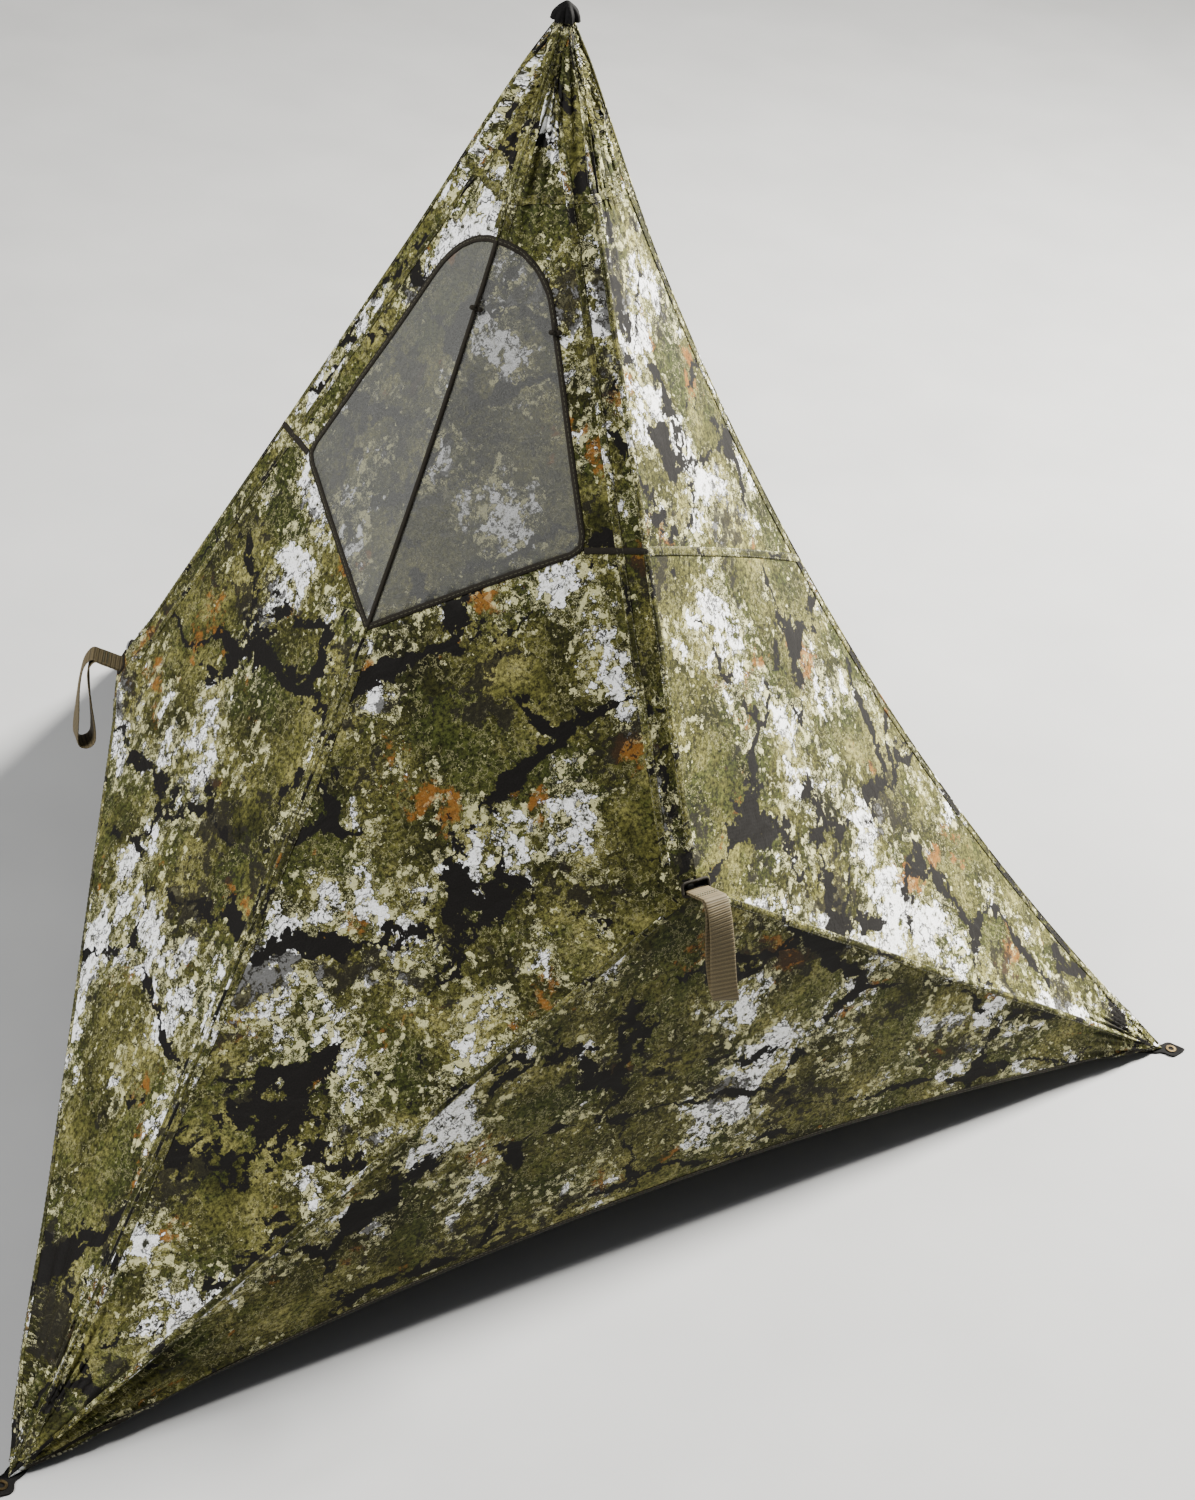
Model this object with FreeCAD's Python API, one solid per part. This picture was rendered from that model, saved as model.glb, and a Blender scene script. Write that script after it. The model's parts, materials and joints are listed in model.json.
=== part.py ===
"""Floorless three-hub pop-up ground blind, in millimetres, +Z up, standing on z = 0.

The blind is a regular tetrahedron. Each of its three walls has a hub in the middle that three equal
rods push out of the wall's plane, so the cloth stands tight. The origin is under the middle of the
bounding box. The front corner points along -Y, and the right corner lies on the +X side.
"""
import FreeCAD, Part
import math
import os

from FreeCAD import Matrix, Placement, Vector

# Tetrahedron and cloth
EDGE = 2100.0          # between any two corners
HUB_PUSH = 169.0       # cloth peak above the flat wall at each hub
EDGE_SAG = 113.0       # how far a slanting edge bows inwards at its middle
HEM_SAG = 97.0         # how far a hem rises at its middle
CLOTH = 1.0            # thickness of the wall cloth
HUB_OPENING = 0.04     # the cloth stops at this fraction of the way from hub to edge
COLUMNS = 8            # strips in one cloth facet, along its edge
ROWS = (HUB_OPENING, 0.45, 1.0)

# Corner tabs and stake grommets
TAB_THICK = 3.0
TAB_REACH = 40.0       # beyond the cloth corner
TAB_INSIDE = 90.0
TAB_SHOULDER = 18.0    # half width at its widest point outside the cloth corner
TAB_SHOULDER_OUT = 8.0
TAB_WIDE = 40.0        # half width at its inner end
STAKE_OUT = 15.0       # stake hole beyond the cloth corner
STAKE_R = 5.0

# Rods and corner sockets, measured along a wall from its centre
PIN_RING = 24.0        # hinge pins from the hub's axis
PIN_LEVEL = 145.0      # hinge pins above the flat wall
TIP_BACK = 75.0        # rod tip short of the corner
TIP_DROP = 4.5         # rod tip below the flat wall
ROD_R = 4.0
CAP_R = 5.0
CAP_LENGTH = 25.0
FERRULE_R = 6.0
FERRULE_START = 14.0
FERRULE_END = 48.0
EYE_R = 5.5
EYE_WIDE = 9.0
PIN_R = 2.0
RUNNING_GAP = 0.05
SOCKET_END = 63.4      # socket floor to corner: leaves the tip its over-centre travel
SOCKET_MOUTH = 104.0
SOCKET_WALL = 1.6

# Hub
HUB_R = 36.0
HUB_HALF = 7.0
PLATE_R = 34.0
PLATE_THICK = 3.0
SLOT_WIDE = 9.8
BOLT_R = 3.0
STRAP_PIN_R = 2.5
STRAP_PIN_LEVEL = 16.5  # above the hinge pins

# Pull strap
WEBBING = 38.0
WEBBING_THICK = 2.4
STUB_LENGTH = 48.0     # doubled webbing that stands out of the hub
LOOP_LENGTH = 146.0    # between the centres of the loop's two ends
LOOP_TOP_R = 3.2
LOOP_BOTTOM_R = 14.0
LOOP_GAP = 1.2         # between the stub's end and the loop, bridged by the webbing itself

# Window round the front edge, as fractions: (down the edge, from hub to edge)
WINDOW_SILL_AT_EDGE = (0.414, 1.0)
WINDOW_SILL_CORNER = (0.162, 0.542)
WINDOW_SHOULDER = (0.103, 0.82)
WINDOW_ARCH = (0.118, 0.9)
WINDOW_TOP_AT_EDGE = (0.152, 1.0)
PAST_EDGE = 1.2
BINDING_OUT = 7.0
BINDING_IN = 6.0
BINDING_THICK = 1.2
BINDING_GAP = 0.1
CUTTER_DEPTH = 400.0   # of the blocks that divide a facet

# Door in the left half of the rear wall
JAMB_WIDE = 70.0       # fixed cloth between the rod and the door's fold line
DOOR_GAP = 3.0
PIPING_R = 1.8
PIPING_LIFT = 0.3
PIPING_START = 70.0    # from the hub's peak, up the ridge
PIPING_END = 1130.0
RIDGE_ZIP_START = 150.0   # closed place of the ridge slider, from the left corner
EDGE_ZIP_START = 0.93     # closed place of the edge slider, as a fraction down the edge
SLIDER_LIFT = 3.0      # clearance between a zip slider and the cloth under it

# Zip slider: (along its travel, half width, height above its underside)
SLIDER_BODY = ((-8.0, 8.0), 6.0, (0.0, 4.0))
SLIDER_BRIDGE = ((-3.0, 3.0), 2.0, (4.0, 7.0))
SLIDER_PULL = ((-38.0, 2.0), 4.5, (7.0, 8.6))

# Pointed cap at the top
APEX_CAP_DEPTH = 42.0
APEX_CAP_RISE = 12.0
APEX_CAP_THICK = 2.0
APEX_CAP_TOP_R = 2.0
RIDGE_ANGLE = 27.4     # widest line of the cloth from the vertical, in degrees

BASE_R = EDGE / math.sqrt(3)
HEIGHT = EDGE * math.sqrt(2 / 3)
CENTRE_Y = (BASE_R + TAB_REACH) / 4
WALL_R = BASE_R        # wall centre to any of its corners

CORNERS = {
    "apex": Vector(0, CENTRE_Y, TAB_THICK + HEIGHT),
    "front": Vector(0, CENTRE_Y - BASE_R, TAB_THICK),
    "right": Vector(EDGE / 2, CENTRE_Y + BASE_R / 2, TAB_THICK),
    "left": Vector(-EDGE / 2, CENTRE_Y + BASE_R / 2, TAB_THICK),
}
WALLS = {
    "right": ("apex", "front", "right"),
    "left": ("apex", "front", "left"),
    "rear": ("apex", "right", "left"),
}
MIDDLE = Vector(0, CENTRE_Y, TAB_THICK + HEIGHT / 4)

ROD_RUN = WALL_R - TIP_BACK - PIN_RING
ROD_RISE = PIN_LEVEL + TIP_DROP
ROD_LENGTH = math.hypot(ROD_RUN, ROD_RISE)
ROD_TILT = math.atan2(ROD_RISE, ROD_RUN)
HUB_TRAVEL = 2 * ROD_RISE


def unit(vector):
    return vector * (1 / vector.Length)


def wall_centre(wall):
    a, b, c = (CORNERS[name] for name in WALLS[wall])
    return (a + b + c) * (1 / 3)


def wall_normal(wall):
    return unit(wall_centre(wall) - MIDDLE)


def wall_axes(wall):
    """Up the wall, across it, and out of it."""
    out = wall_normal(wall)
    up = unit(CORNERS["apex"] - wall_centre(wall))
    return up, out.cross(up), out


def wall_placement(wall, level=0.0):
    """Takes a shape modelled about the hub's axis (+Z) to the wall, `level` above its flat plane."""
    up, across, out = wall_axes(wall)
    at = wall_centre(wall) + out * level
    return Placement(Matrix(up.x, across.x, out.x, at.x,
                            up.y, across.y, out.y, at.y,
                            up.z, across.z, out.z, at.z,
                            0, 0, 0, 1))


def corner_angle(wall, corner):
    """Direction of a corner about the hub's axis, in degrees from straight up the wall."""
    up, across, out = wall_axes(wall)
    line = CORNERS[corner] - wall_centre(wall)
    return math.degrees(math.atan2(line.dot(across), line.dot(up)))


def hub_peak(wall):
    return wall_centre(wall) + wall_normal(wall) * HUB_PUSH


def sag_direction(wall, a, b):
    """Hems rise towards the hub, and slanting edges bow towards the middle of the blind."""
    start, end = CORNERS[a], CORNERS[b]
    goal = MIDDLE if "apex" in (a, b) else hub_peak(wall)
    along = unit(end - start)
    line = goal - (start + end) * 0.5
    return unit(line - along * line.dot(along))


def facet_point(wall, a, b, u, v):
    """u runs along the edge from a to b, and v from the hub to the edge."""
    sag = EDGE_SAG if "apex" in (a, b) else HEM_SAG
    hub = hub_peak(wall)
    flat = hub + (CORNERS[a] - hub) * ((1 - u) * v) + (CORNERS[b] - hub) * (u * v)
    return flat + sag_direction(wall, a, b) * (4 * sag * u * (1 - u) * v * v)


def outward(wall, a, b, u, v):
    """Direction in which the cloth has its thickness: shared with the neighbour along every seam."""
    if v == 1.0 and u in (0.0, 1.0):
        return unit(CORNERS[b if u else a] - MIDDLE)
    if v == 1.0 and "apex" in (a, b):
        return sag_direction(wall, a, b) * -1
    return wall_normal(wall)


def facet_solid(wall, a, b, low, high):
    """Closed sheet that follows a facet, from `low` to `high` above the cloth's outer face."""
    def grid(offset):
        return [[facet_point(wall, a, b, i / COLUMNS, v) + outward(wall, a, b, i / COLUMNS, v) * offset
                 for i in range(COLUMNS + 1)] for v in ROWS]
    return sheet_solid(grid(low), grid(high))


def triangle(a, b, c):
    return Part.Face(Part.makePolygon([a, b, c, a]))


def quad(a, b, c, d):
    return [triangle(a, b, c), triangle(a, c, d)]


def strip(one, other):
    """Faces between two lines of points."""
    faces = []
    for i in range(len(one) - 1):
        faces += quad(one[i], one[i + 1], other[i + 1], other[i])
    return faces


def sheet_solid(low, high):
    faces = []
    for row in range(len(low) - 1):
        faces += strip(low[row], low[row + 1])
        faces += strip(high[row], high[row + 1])
    for row in (0, -1):
        faces += strip(low[row], high[row])
    for column in (0, -1):
        faces += strip([line[column] for line in low], [line[column] for line in high])
    return closed_solid(faces)


def closed_solid(faces):
    shell = Part.makeShell(faces)
    shell.sewShape()
    solid = Part.makeSolid(shell)
    if solid.Volume < 0:
        solid.reverse()
    return solid


def cylinder_between(start, end, radius):
    return Part.makeCylinder(radius, (end - start).Length, start, end - start)


def export(name, shape):
    shape.exportStep("parts/" + name + ".step")


# ---- cloth -----------------------------------------------------------------------------------

def window_points(wall):
    """The window's outline on one facet, laid on the plane of that facet."""
    plane = facet_plane(wall, "front")
    spots = (WINDOW_SILL_AT_EDGE, WINDOW_SILL_CORNER, WINDOW_SHOULDER, WINDOW_ARCH, WINDOW_TOP_AT_EDGE)
    return [on_plane(facet_point(wall, "apex", "front", u, v), plane) for u, v in spots]


def facet_plane(wall, corner):
    hub = hub_peak(wall)
    return hub, unit((CORNERS["apex"] - hub).cross(CORNERS[corner] - hub))


def on_plane(point, plane):
    origin, normal = plane
    return point - normal * (point - origin).dot(normal)


def window_wire(wall):
    sill_edge, sill_corner, shoulder, arch, top_edge = window_points(wall)
    beyond_sill = sill_edge + (sill_edge - sill_corner) * (PAST_EDGE - 1)
    beyond_top = top_edge + (sill_edge - sill_corner) * (PAST_EDGE - 1)
    edges = [Part.LineSegment(beyond_sill, sill_corner).toShape(),
             Part.LineSegment(sill_corner, shoulder).toShape(),
             Part.Arc(shoulder, arch, top_edge).toShape(),
             Part.LineSegment(top_edge, beyond_top).toShape(),
             Part.LineSegment(beyond_top, beyond_sill).toShape()]
    return Part.Wire(edges)


def plane_prism(wire, plane):
    """Solid that passes through a plane's outline, half its depth on each side."""
    face = Part.Face(wire)
    face.translate(plane[1] * (-CUTTER_DEPTH / 2))
    return face.extrude(plane[1] * CUTTER_DEPTH)


def wall_cloth(wall, a, b):
    return facet_solid(wall, a, b, -CLOTH, 0.0)


def make_cloth():
    for wall in ("right", "left"):
        make_window(wall, wall_cloth(wall, "apex", "front"))
        export(wall + "_wall_rear_cloth", wall_cloth(wall, "apex", wall))
        export(wall + "_wall_lower_cloth", wall_cloth(wall, "front", wall))
    export("rear_wall_right_cloth", wall_cloth("rear", "apex", "right"))
    export("rear_wall_lower_cloth", wall_cloth("rear", "right", "left"))
    make_door(wall_cloth("rear", "apex", "left"))


def make_window(wall, cloth):
    """Cuts the see-through window out of the front facet, fills it with mesh and binds its border."""
    plane = facet_plane(wall, "front")
    wire = window_wire(wall)
    cutter = plane_prism(wire, plane)
    export(wall + "_wall_front_cloth", cloth.cut(cutter))
    export(wall + "_window_mesh", cloth.common(cutter))
    band = facet_solid(wall, "apex", "front", BINDING_GAP, BINDING_GAP + BINDING_THICK)
    outer = plane_prism(wire.makeOffset2D(BINDING_OUT), plane)
    inner = plane_prism(wire.makeOffset2D(-BINDING_IN), plane)
    export(wall + "_window_binding", band.common(outer.cut(inner)))


def door_lines():
    """The rod ridge beside the door, the door's fold line, and the direction between them."""
    hub, apex, left = hub_peak("rear"), CORNERS["apex"], CORNERS["left"]
    up = unit(apex - hub)
    side = left - hub
    side = unit(side - up * side.dot(up))
    return hub, up, side


def door_slab(near, far):
    """Block over the part of the rear facet that lies between two distances from the rod ridge."""
    hub, up, side = door_lines()
    plane = (hub, up.cross(side))
    low, high = hub - up * EDGE, hub + up * EDGE
    ring = [low + side * near, high + side * near, high + side * far, low + side * far, low + side * near]
    return plane_prism(Part.makePolygon(ring), plane)


def border_tubes(corners, radius):
    """Tubes along lines of points, used to leave a zip's width between two pieces of cloth."""
    return [cylinder_between(a, b, radius) for a, b in zip(corners, corners[1:])]


def make_door(cloth):
    """Splits the facet into the jamb, which turns with the rod, and the door, which folds open."""
    hub, up, side = door_lines()
    edge = [facet_point("rear", "apex", "left", i / COLUMNS, 1.0) for i in range(COLUMNS + 1)]
    tubes = border_tubes([CORNERS["apex"], hub, CORNERS["left"]], DOOR_GAP) + border_tubes(edge, DOOR_GAP)
    free = cloth.cut(tubes)
    export("door_jamb_cloth", largest(free.common(door_slab(0.0, JAMB_WIDE - DOOR_GAP / 2))))
    export("door_cloth", largest(free.common(door_slab(JAMB_WIDE + DOOR_GAP / 2, EDGE))))
    export("door_seam_piping", door_piping(hub, up))
    export("ridge_zip_slider", zip_slider(*ridge_slider_frame()))
    export("edge_zip_slider", zip_slider(*edge_slider_frame()))


def largest(shape):
    return max(shape.Solids, key=lambda solid: solid.Volume)


def door_piping(hub, up):
    """Corded seam that covers the rod ridge above the door."""
    lift = wall_normal("rear") * (PIPING_R + PIPING_LIFT)
    return cylinder_between(hub + up * PIPING_START + lift, hub + up * PIPING_END + lift, PIPING_R)


def ridge_slider_frame():
    """Closed position of the slider on the lower rod's ridge: place, direction of travel, outward."""
    hub, left = hub_peak("rear"), CORNERS["left"]
    travel = unit(hub - left)
    out = wall_normal("rear")
    out = unit(out - travel * out.dot(travel))
    return left + travel * RIDGE_ZIP_START, travel, out


def edge_slider_frame():
    """Closed position of the slider on the curved rear-left edge."""
    here = facet_point("rear", "apex", "left", EDGE_ZIP_START, 1.0)
    ahead = facet_point("rear", "apex", "left", EDGE_ZIP_START - 0.01, 1.0)
    out = sag_direction("rear", "apex", "left") * -1
    travel = unit(ahead - here)
    return here, travel, unit(out - travel * out.dot(travel))


def zip_slider(place, travel, out):
    """Slider body that straddles the zip, with its pull tab lying beyond it."""
    side = out.cross(travel)

    def block(along, half_width, height):
        corner = place + travel * along[0] - side * half_width + out * (SLIDER_LIFT + height[0])
        box = Part.makeBox(along[1] - along[0], 2 * half_width, height[1] - height[0])
        box.Placement = Placement(Matrix(travel.x, side.x, out.x, corner.x,
                                         travel.y, side.y, out.y, corner.y,
                                         travel.z, side.z, out.z, corner.z,
                                         0, 0, 0, 1))
        return box
    return block(*SLIDER_BODY).fuse([block(*SLIDER_BRIDGE), block(*SLIDER_PULL)]).removeSplitter()


# ---- corners ---------------------------------------------------------------------------------

def socket_axis(wall, corner):
    """Start of a rod socket at the flat wall's corner, and its direction towards the hub."""
    inward = unit(wall_centre(wall) - CORNERS[corner])
    return CORNERS[corner] - wall_normal(wall) * TIP_DROP, inward


def socket_radius(distance):
    """The socket flares towards its mouth so that the rod can swing through centre in it."""
    tip_room = CAP_R + 0.8
    mouth_room = 10.0
    share = (distance - SOCKET_END) / (SOCKET_MOUTH - SOCKET_END)
    return tip_room + (mouth_room - tip_room) * share


def make_socket(corner):
    """One moulded fitting per corner: a flared cup for each rod, tied together behind the cups."""
    walls = [wall for wall, names in WALLS.items() if corner in names]
    solids, cavities, ends = [], [], []
    for wall in walls:
        origin, inward = socket_axis(wall, corner)
        floor = SOCKET_END - 3.0
        outer = Part.makeCone(socket_radius(SOCKET_END) + SOCKET_WALL, socket_radius(SOCKET_MOUTH) + SOCKET_WALL,
                              SOCKET_MOUTH - floor, origin + inward * floor, inward)
        cavity = Part.makeCone(socket_radius(SOCKET_END), socket_radius(SOCKET_MOUTH),
                               SOCKET_MOUTH - SOCKET_END, origin + inward * SOCKET_END, inward)
        solids.append(outer)
        cavities.append(cavity)
        ends.append(origin + inward * (SOCKET_END - 0.5))
    ties = ends + ends[:1] if len(ends) > 2 else ends
    solids += [cylinder_between(a, b, 4.5) for a, b in zip(ties, ties[1:])]
    if corner != "apex":
        foot = (ends[0] + ends[1]) * 0.5
        solids.append(cylinder_between(Vector(foot.x, foot.y, TAB_THICK), foot, 6.0))
    fitting = solids[0].fuse(solids[1:]).cut(cavities).removeSplitter()
    export(corner + "_rod_socket", fitting)


def tab_outline():
    half = [(TAB_REACH, 0), (TAB_SHOULDER_OUT, TAB_SHOULDER), (-TAB_INSIDE, TAB_WIDE)]
    return [Vector(x, y, 0) for x, y in half] + [Vector(x, -y, 0) for x, y in half[::-1]]


def tab_placement(corner):
    """Puts a tab modelled along +X at its corner, pointing away from the blind."""
    line = CORNERS[corner] - Vector(0, CENTRE_Y, TAB_THICK)
    angle = math.degrees(math.atan2(line.y, line.x))
    return Placement(Vector(CORNERS[corner].x, CORNERS[corner].y, 0), FreeCAD.Rotation(Vector(0, 0, 1), angle))


def make_tab(corner):
    tab = Part.Face(Part.makePolygon(tab_outline())).extrude(Vector(0, 0, TAB_THICK))
    hole = Part.makeCylinder(STAKE_R + 1.55, TAB_THICK, Vector(STAKE_OUT, 0, 0))
    tab = tab.cut(hole)
    tab.Placement = tab_placement(corner)
    export(corner + "_corner_tab", tab)


def stake_grommet(corner):
    barrel = Part.makeCylinder(STAKE_R + 1.5, TAB_THICK + 1, Vector(STAKE_OUT, 0, 0))
    flange = Part.makeCylinder(STAKE_R + 4, 1.0, Vector(STAKE_OUT, 0, TAB_THICK))
    hole = Part.makeCylinder(STAKE_R, TAB_THICK + 1, Vector(STAKE_OUT, 0, 0))
    grommet = barrel.fuse(flange).cut(hole).removeSplitter()
    grommet.Placement = tab_placement(corner)
    return grommet


def make_apex_cap():
    """Pointed vinyl cap over the gathered cloth at the top."""
    foot = CORNERS["apex"] - Vector(0, 0, APEX_CAP_DEPTH)
    foot_r = APEX_CAP_DEPTH * math.tan(math.radians(RIDGE_ANGLE)) + 0.6
    outer = Part.makeCone(foot_r + APEX_CAP_THICK, APEX_CAP_TOP_R, APEX_CAP_DEPTH + APEX_CAP_RISE, foot)
    inner = Part.makeCone(foot_r, 0.6, APEX_CAP_DEPTH + 0.8, foot)
    export("apex_cap", outer.cut(inner))


def make_corners():
    for corner in CORNERS:
        make_socket(corner)
    for corner in ("front", "right", "left"):
        make_tab(corner)
    export("stake_grommets", Part.makeCompound([stake_grommet(c) for c in ("front", "right", "left")]))
    make_apex_cap()


# ---- hubs, rods and straps -------------------------------------------------------------------
# Each is modelled about the hub's axis, with z = 0 at the level of the hinge pins.

def rod_angles(wall):
    return [corner_angle(wall, corner) for corner in WALLS[wall]]


def turned(shape, angle):
    shape.rotate(Vector(0, 0, 0), Vector(0, 0, 1), angle)
    return shape


def hub_body(wall):
    """Moulded disc with a slot and a cross hole for each rod."""
    body = Part.makeCylinder(HUB_R, 2 * HUB_HALF, Vector(0, 0, -HUB_HALF))
    cuts = [Part.makeCylinder(BOLT_R + RUNNING_GAP, 2 * HUB_HALF, Vector(0, 0, -HUB_HALF))]
    for angle in rod_angles(wall):
        slot = Part.makeBox(HUB_R, SLOT_WIDE, 2 * HUB_HALF, Vector(PIN_RING - EYE_R - 2, -SLOT_WIDE / 2, -HUB_HALF))
        cuts.append(turned(slot, angle))
        hole = Part.makeCylinder(PIN_R + RUNNING_GAP, 22, Vector(PIN_RING, -11, 0), Vector(0, 1, 0))
        cuts.append(turned(hole, angle))
    return body.cut(cuts)


def hub_plate():
    """Outer plate with two ears that carry the strap pin."""
    base = HUB_HALF
    plate = Part.makeCylinder(PLATE_R, PLATE_THICK, Vector(0, 0, base))
    ears = []
    for side in (-1, 1):
        middle = side * (WEBBING / 2 + 2.1)
        foot = Part.makeBox(10, 3, STRAP_PIN_LEVEL - base, Vector(-5, middle - 1.5, base))
        top = Part.makeCylinder(5, 3, Vector(0, middle - 1.5, STRAP_PIN_LEVEL), Vector(0, 1, 0))
        ears += [foot, top]
    holes = [Part.makeCylinder(STRAP_PIN_R + RUNNING_GAP, 60, Vector(0, -30, STRAP_PIN_LEVEL), Vector(0, 1, 0)),
             Part.makeCylinder(BOLT_R + RUNNING_GAP, PLATE_THICK, Vector(0, 0, base))]
    return plate.fuse(ears).cut(holes).removeSplitter()


def hub_fasteners(wall):
    """Three hinge pins, the strap pin, and the rivet that holds plate and body together."""
    pins = [turned(Part.makeCylinder(PIN_R, 21, Vector(PIN_RING, -10.5, 0), Vector(0, 1, 0)), angle)
            for angle in rod_angles(wall)]
    strap_pin = Part.makeCylinder(STRAP_PIN_R, 46, Vector(0, -23, STRAP_PIN_LEVEL), Vector(0, 1, 0))
    top = HUB_HALF + PLATE_THICK
    shank = Part.makeCylinder(BOLT_R, top + HUB_HALF, Vector(0, 0, -HUB_HALF))
    head = Part.makeCylinder(2 * BOLT_R, 1.0, Vector(0, 0, top))
    tail = Part.makeCylinder(2 * BOLT_R, 1.5, Vector(0, 0, -HUB_HALF - 1.5))
    rivet = shank.fuse([head, tail]).removeSplitter()
    return Part.makeCompound(pins + [strap_pin, rivet])


def strap_stub():
    """Doubled webbing that wraps the strap pin and stands straight out of the hub."""
    across = Vector(0, 1, 0)
    start = Vector(0, -WEBBING / 2, STRAP_PIN_LEVEL)
    ring = Part.makeCylinder(STRAP_PIN_R + 0.4 + WEBBING_THICK / 2, WEBBING, start, across)
    tongue = Part.makeBox(2 * WEBBING_THICK, WEBBING, STUB_LENGTH, start - Vector(WEBBING_THICK, 0, 0))
    end = Part.makeCylinder(WEBBING_THICK, WEBBING, start + Vector(0, 0, STUB_LENGTH), across)
    hole = Part.makeCylinder(STRAP_PIN_R + 0.3, WEBBING, start, across)
    return ring.fuse([tongue, end]).cut(hole).removeSplitter()


def tapered_loop(top_r, bottom_r):
    """Rounded outline, small at the top and large at the bottom, hanging along -Z from the origin."""
    lean = math.asin((bottom_r - top_r) / LOOP_LENGTH)
    points = []
    for side in (1, -1):
        outward_x, outward_z = side * math.cos(lean), math.sin(lean)
        points.append((Vector(top_r * outward_x, 0, top_r * outward_z),
                       Vector(bottom_r * outward_x, 0, bottom_r * outward_z - LOOP_LENGTH)))
    (right_top, right_bottom), (left_top, left_bottom) = points
    edges = [Part.LineSegment(right_top, right_bottom).toShape(),
             Part.Arc(right_bottom, Vector(0, 0, -LOOP_LENGTH - bottom_r), left_bottom).toShape(),
             Part.LineSegment(left_bottom, left_top).toShape(),
             Part.Arc(left_top, Vector(0, 0, top_r), right_top).toShape()]
    face = Part.Face(Part.Wire(edges))
    face.translate(Vector(0, -WEBBING / 2, 0))
    return face.extrude(Vector(0, WEBBING, 0))


def strap_pivot(wall):
    """Where the loop hangs from the stub, in the blind's frame."""
    lift = PIN_LEVEL + STRAP_PIN_LEVEL + STUB_LENGTH + WEBBING_THICK + LOOP_TOP_R + LOOP_GAP
    return wall_centre(wall) + wall_normal(wall) * lift


def strap_loop(wall):
    """The webbing loop hangs straight down from the end of the stub."""
    loop = tapered_loop(LOOP_TOP_R, LOOP_BOTTOM_R).cut(
        tapered_loop(LOOP_TOP_R - WEBBING_THICK, LOOP_BOTTOM_R - WEBBING_THICK))
    across = wall_axes(wall)[1]
    down = Vector(0, 0, 1)
    front = across.cross(down)
    at = strap_pivot(wall)
    loop.Placement = Placement(Matrix(front.x, across.x, down.x, at.x,
                                      front.y, across.y, down.y, at.y,
                                      front.z, across.z, down.z, at.z,
                                      0, 0, 0, 1))
    return loop


def place_rod(shape, wall, corner):
    """Takes a piece modelled along +X from its hinge pin to its place between hub and corner."""
    shape.rotate(Vector(0, 0, 0), Vector(0, 1, 0), math.degrees(ROD_TILT))
    shape.translate(Vector(PIN_RING, 0, 0))
    turned(shape, corner_angle(wall, corner))
    shape.Placement = wall_placement(wall, PIN_LEVEL).multiply(shape.Placement)
    return shape


def rod_shape():
    start, end = FERRULE_START + 4, ROD_LENGTH - 4
    return Part.makeCylinder(ROD_R, end - start, Vector(start, 0, 0), Vector(1, 0, 0))


def rod_fittings():
    """Hinge ferrule at the hub end and domed cap at the tip."""
    axis = Vector(1, 0, 0)
    bore = ROD_R + RUNNING_GAP
    eye = Part.makeCylinder(EYE_R, EYE_WIDE, Vector(0, -EYE_WIDE / 2, 0), Vector(0, 1, 0))
    neck = Part.makeBox(FERRULE_START + 1, EYE_WIDE, 9, Vector(0, -EYE_WIDE / 2, -4.5))
    tube = Part.makeCylinder(FERRULE_R, FERRULE_END - FERRULE_START, Vector(FERRULE_START, 0, 0), axis)
    pin_hole = Part.makeCylinder(PIN_R + RUNNING_GAP, EYE_WIDE, Vector(0, -EYE_WIDE / 2, 0), Vector(0, 1, 0))
    rod_hole = Part.makeCylinder(bore, FERRULE_END, Vector(FERRULE_START + 4, 0, 0), axis)
    ferrule = eye.fuse([neck, tube]).cut([pin_hole, rod_hole]).removeSplitter()
    cap_start = ROD_LENGTH - CAP_LENGTH
    cap = Part.makeCylinder(CAP_R, CAP_LENGTH - CAP_R, Vector(cap_start, 0, 0), axis)
    dome = Part.makeSphere(CAP_R, Vector(ROD_LENGTH - CAP_R, 0, 0))
    cap = cap.fuse(dome).cut(Part.makeCylinder(bore, CAP_LENGTH - 4, Vector(cap_start, 0, 0), axis))
    return Part.makeCompound([ferrule, cap.removeSplitter()])


def rod_name(wall, corner):
    """The two side walls call their third corner the rear one."""
    end = "rear" if wall == corner else corner
    return wall + "_hub_" + end + "_rod"


def make_hub(wall):
    placement = wall_placement(wall, PIN_LEVEL)
    pieces = {"_hub_body": hub_body(wall), "_hub_plate": hub_plate(), "_hub_fasteners": hub_fasteners(wall),
              "_strap_stub": strap_stub()}
    for name, shape in pieces.items():
        shape.Placement = placement.multiply(shape.Placement)
        export(wall + name, shape)
    export(wall + "_strap_loop", strap_loop(wall))
    for corner in WALLS[wall]:
        export(rod_name(wall, corner), place_rod(rod_shape(), wall, corner))
        export(rod_name(wall, corner) + "_fittings", place_rod(rod_fittings(), wall, corner))


def main():
    os.makedirs("parts", exist_ok=True)
    make_cloth()
    make_corners()
    for wall in WALLS:
        make_hub(wall)


main()
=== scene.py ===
"""Look of the floorless three-hub pop-up ground blind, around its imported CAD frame, in metres."""
import json
import math

import bmesh
import bpy
import numpy as np
from mathutils import Matrix, Vector


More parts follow.
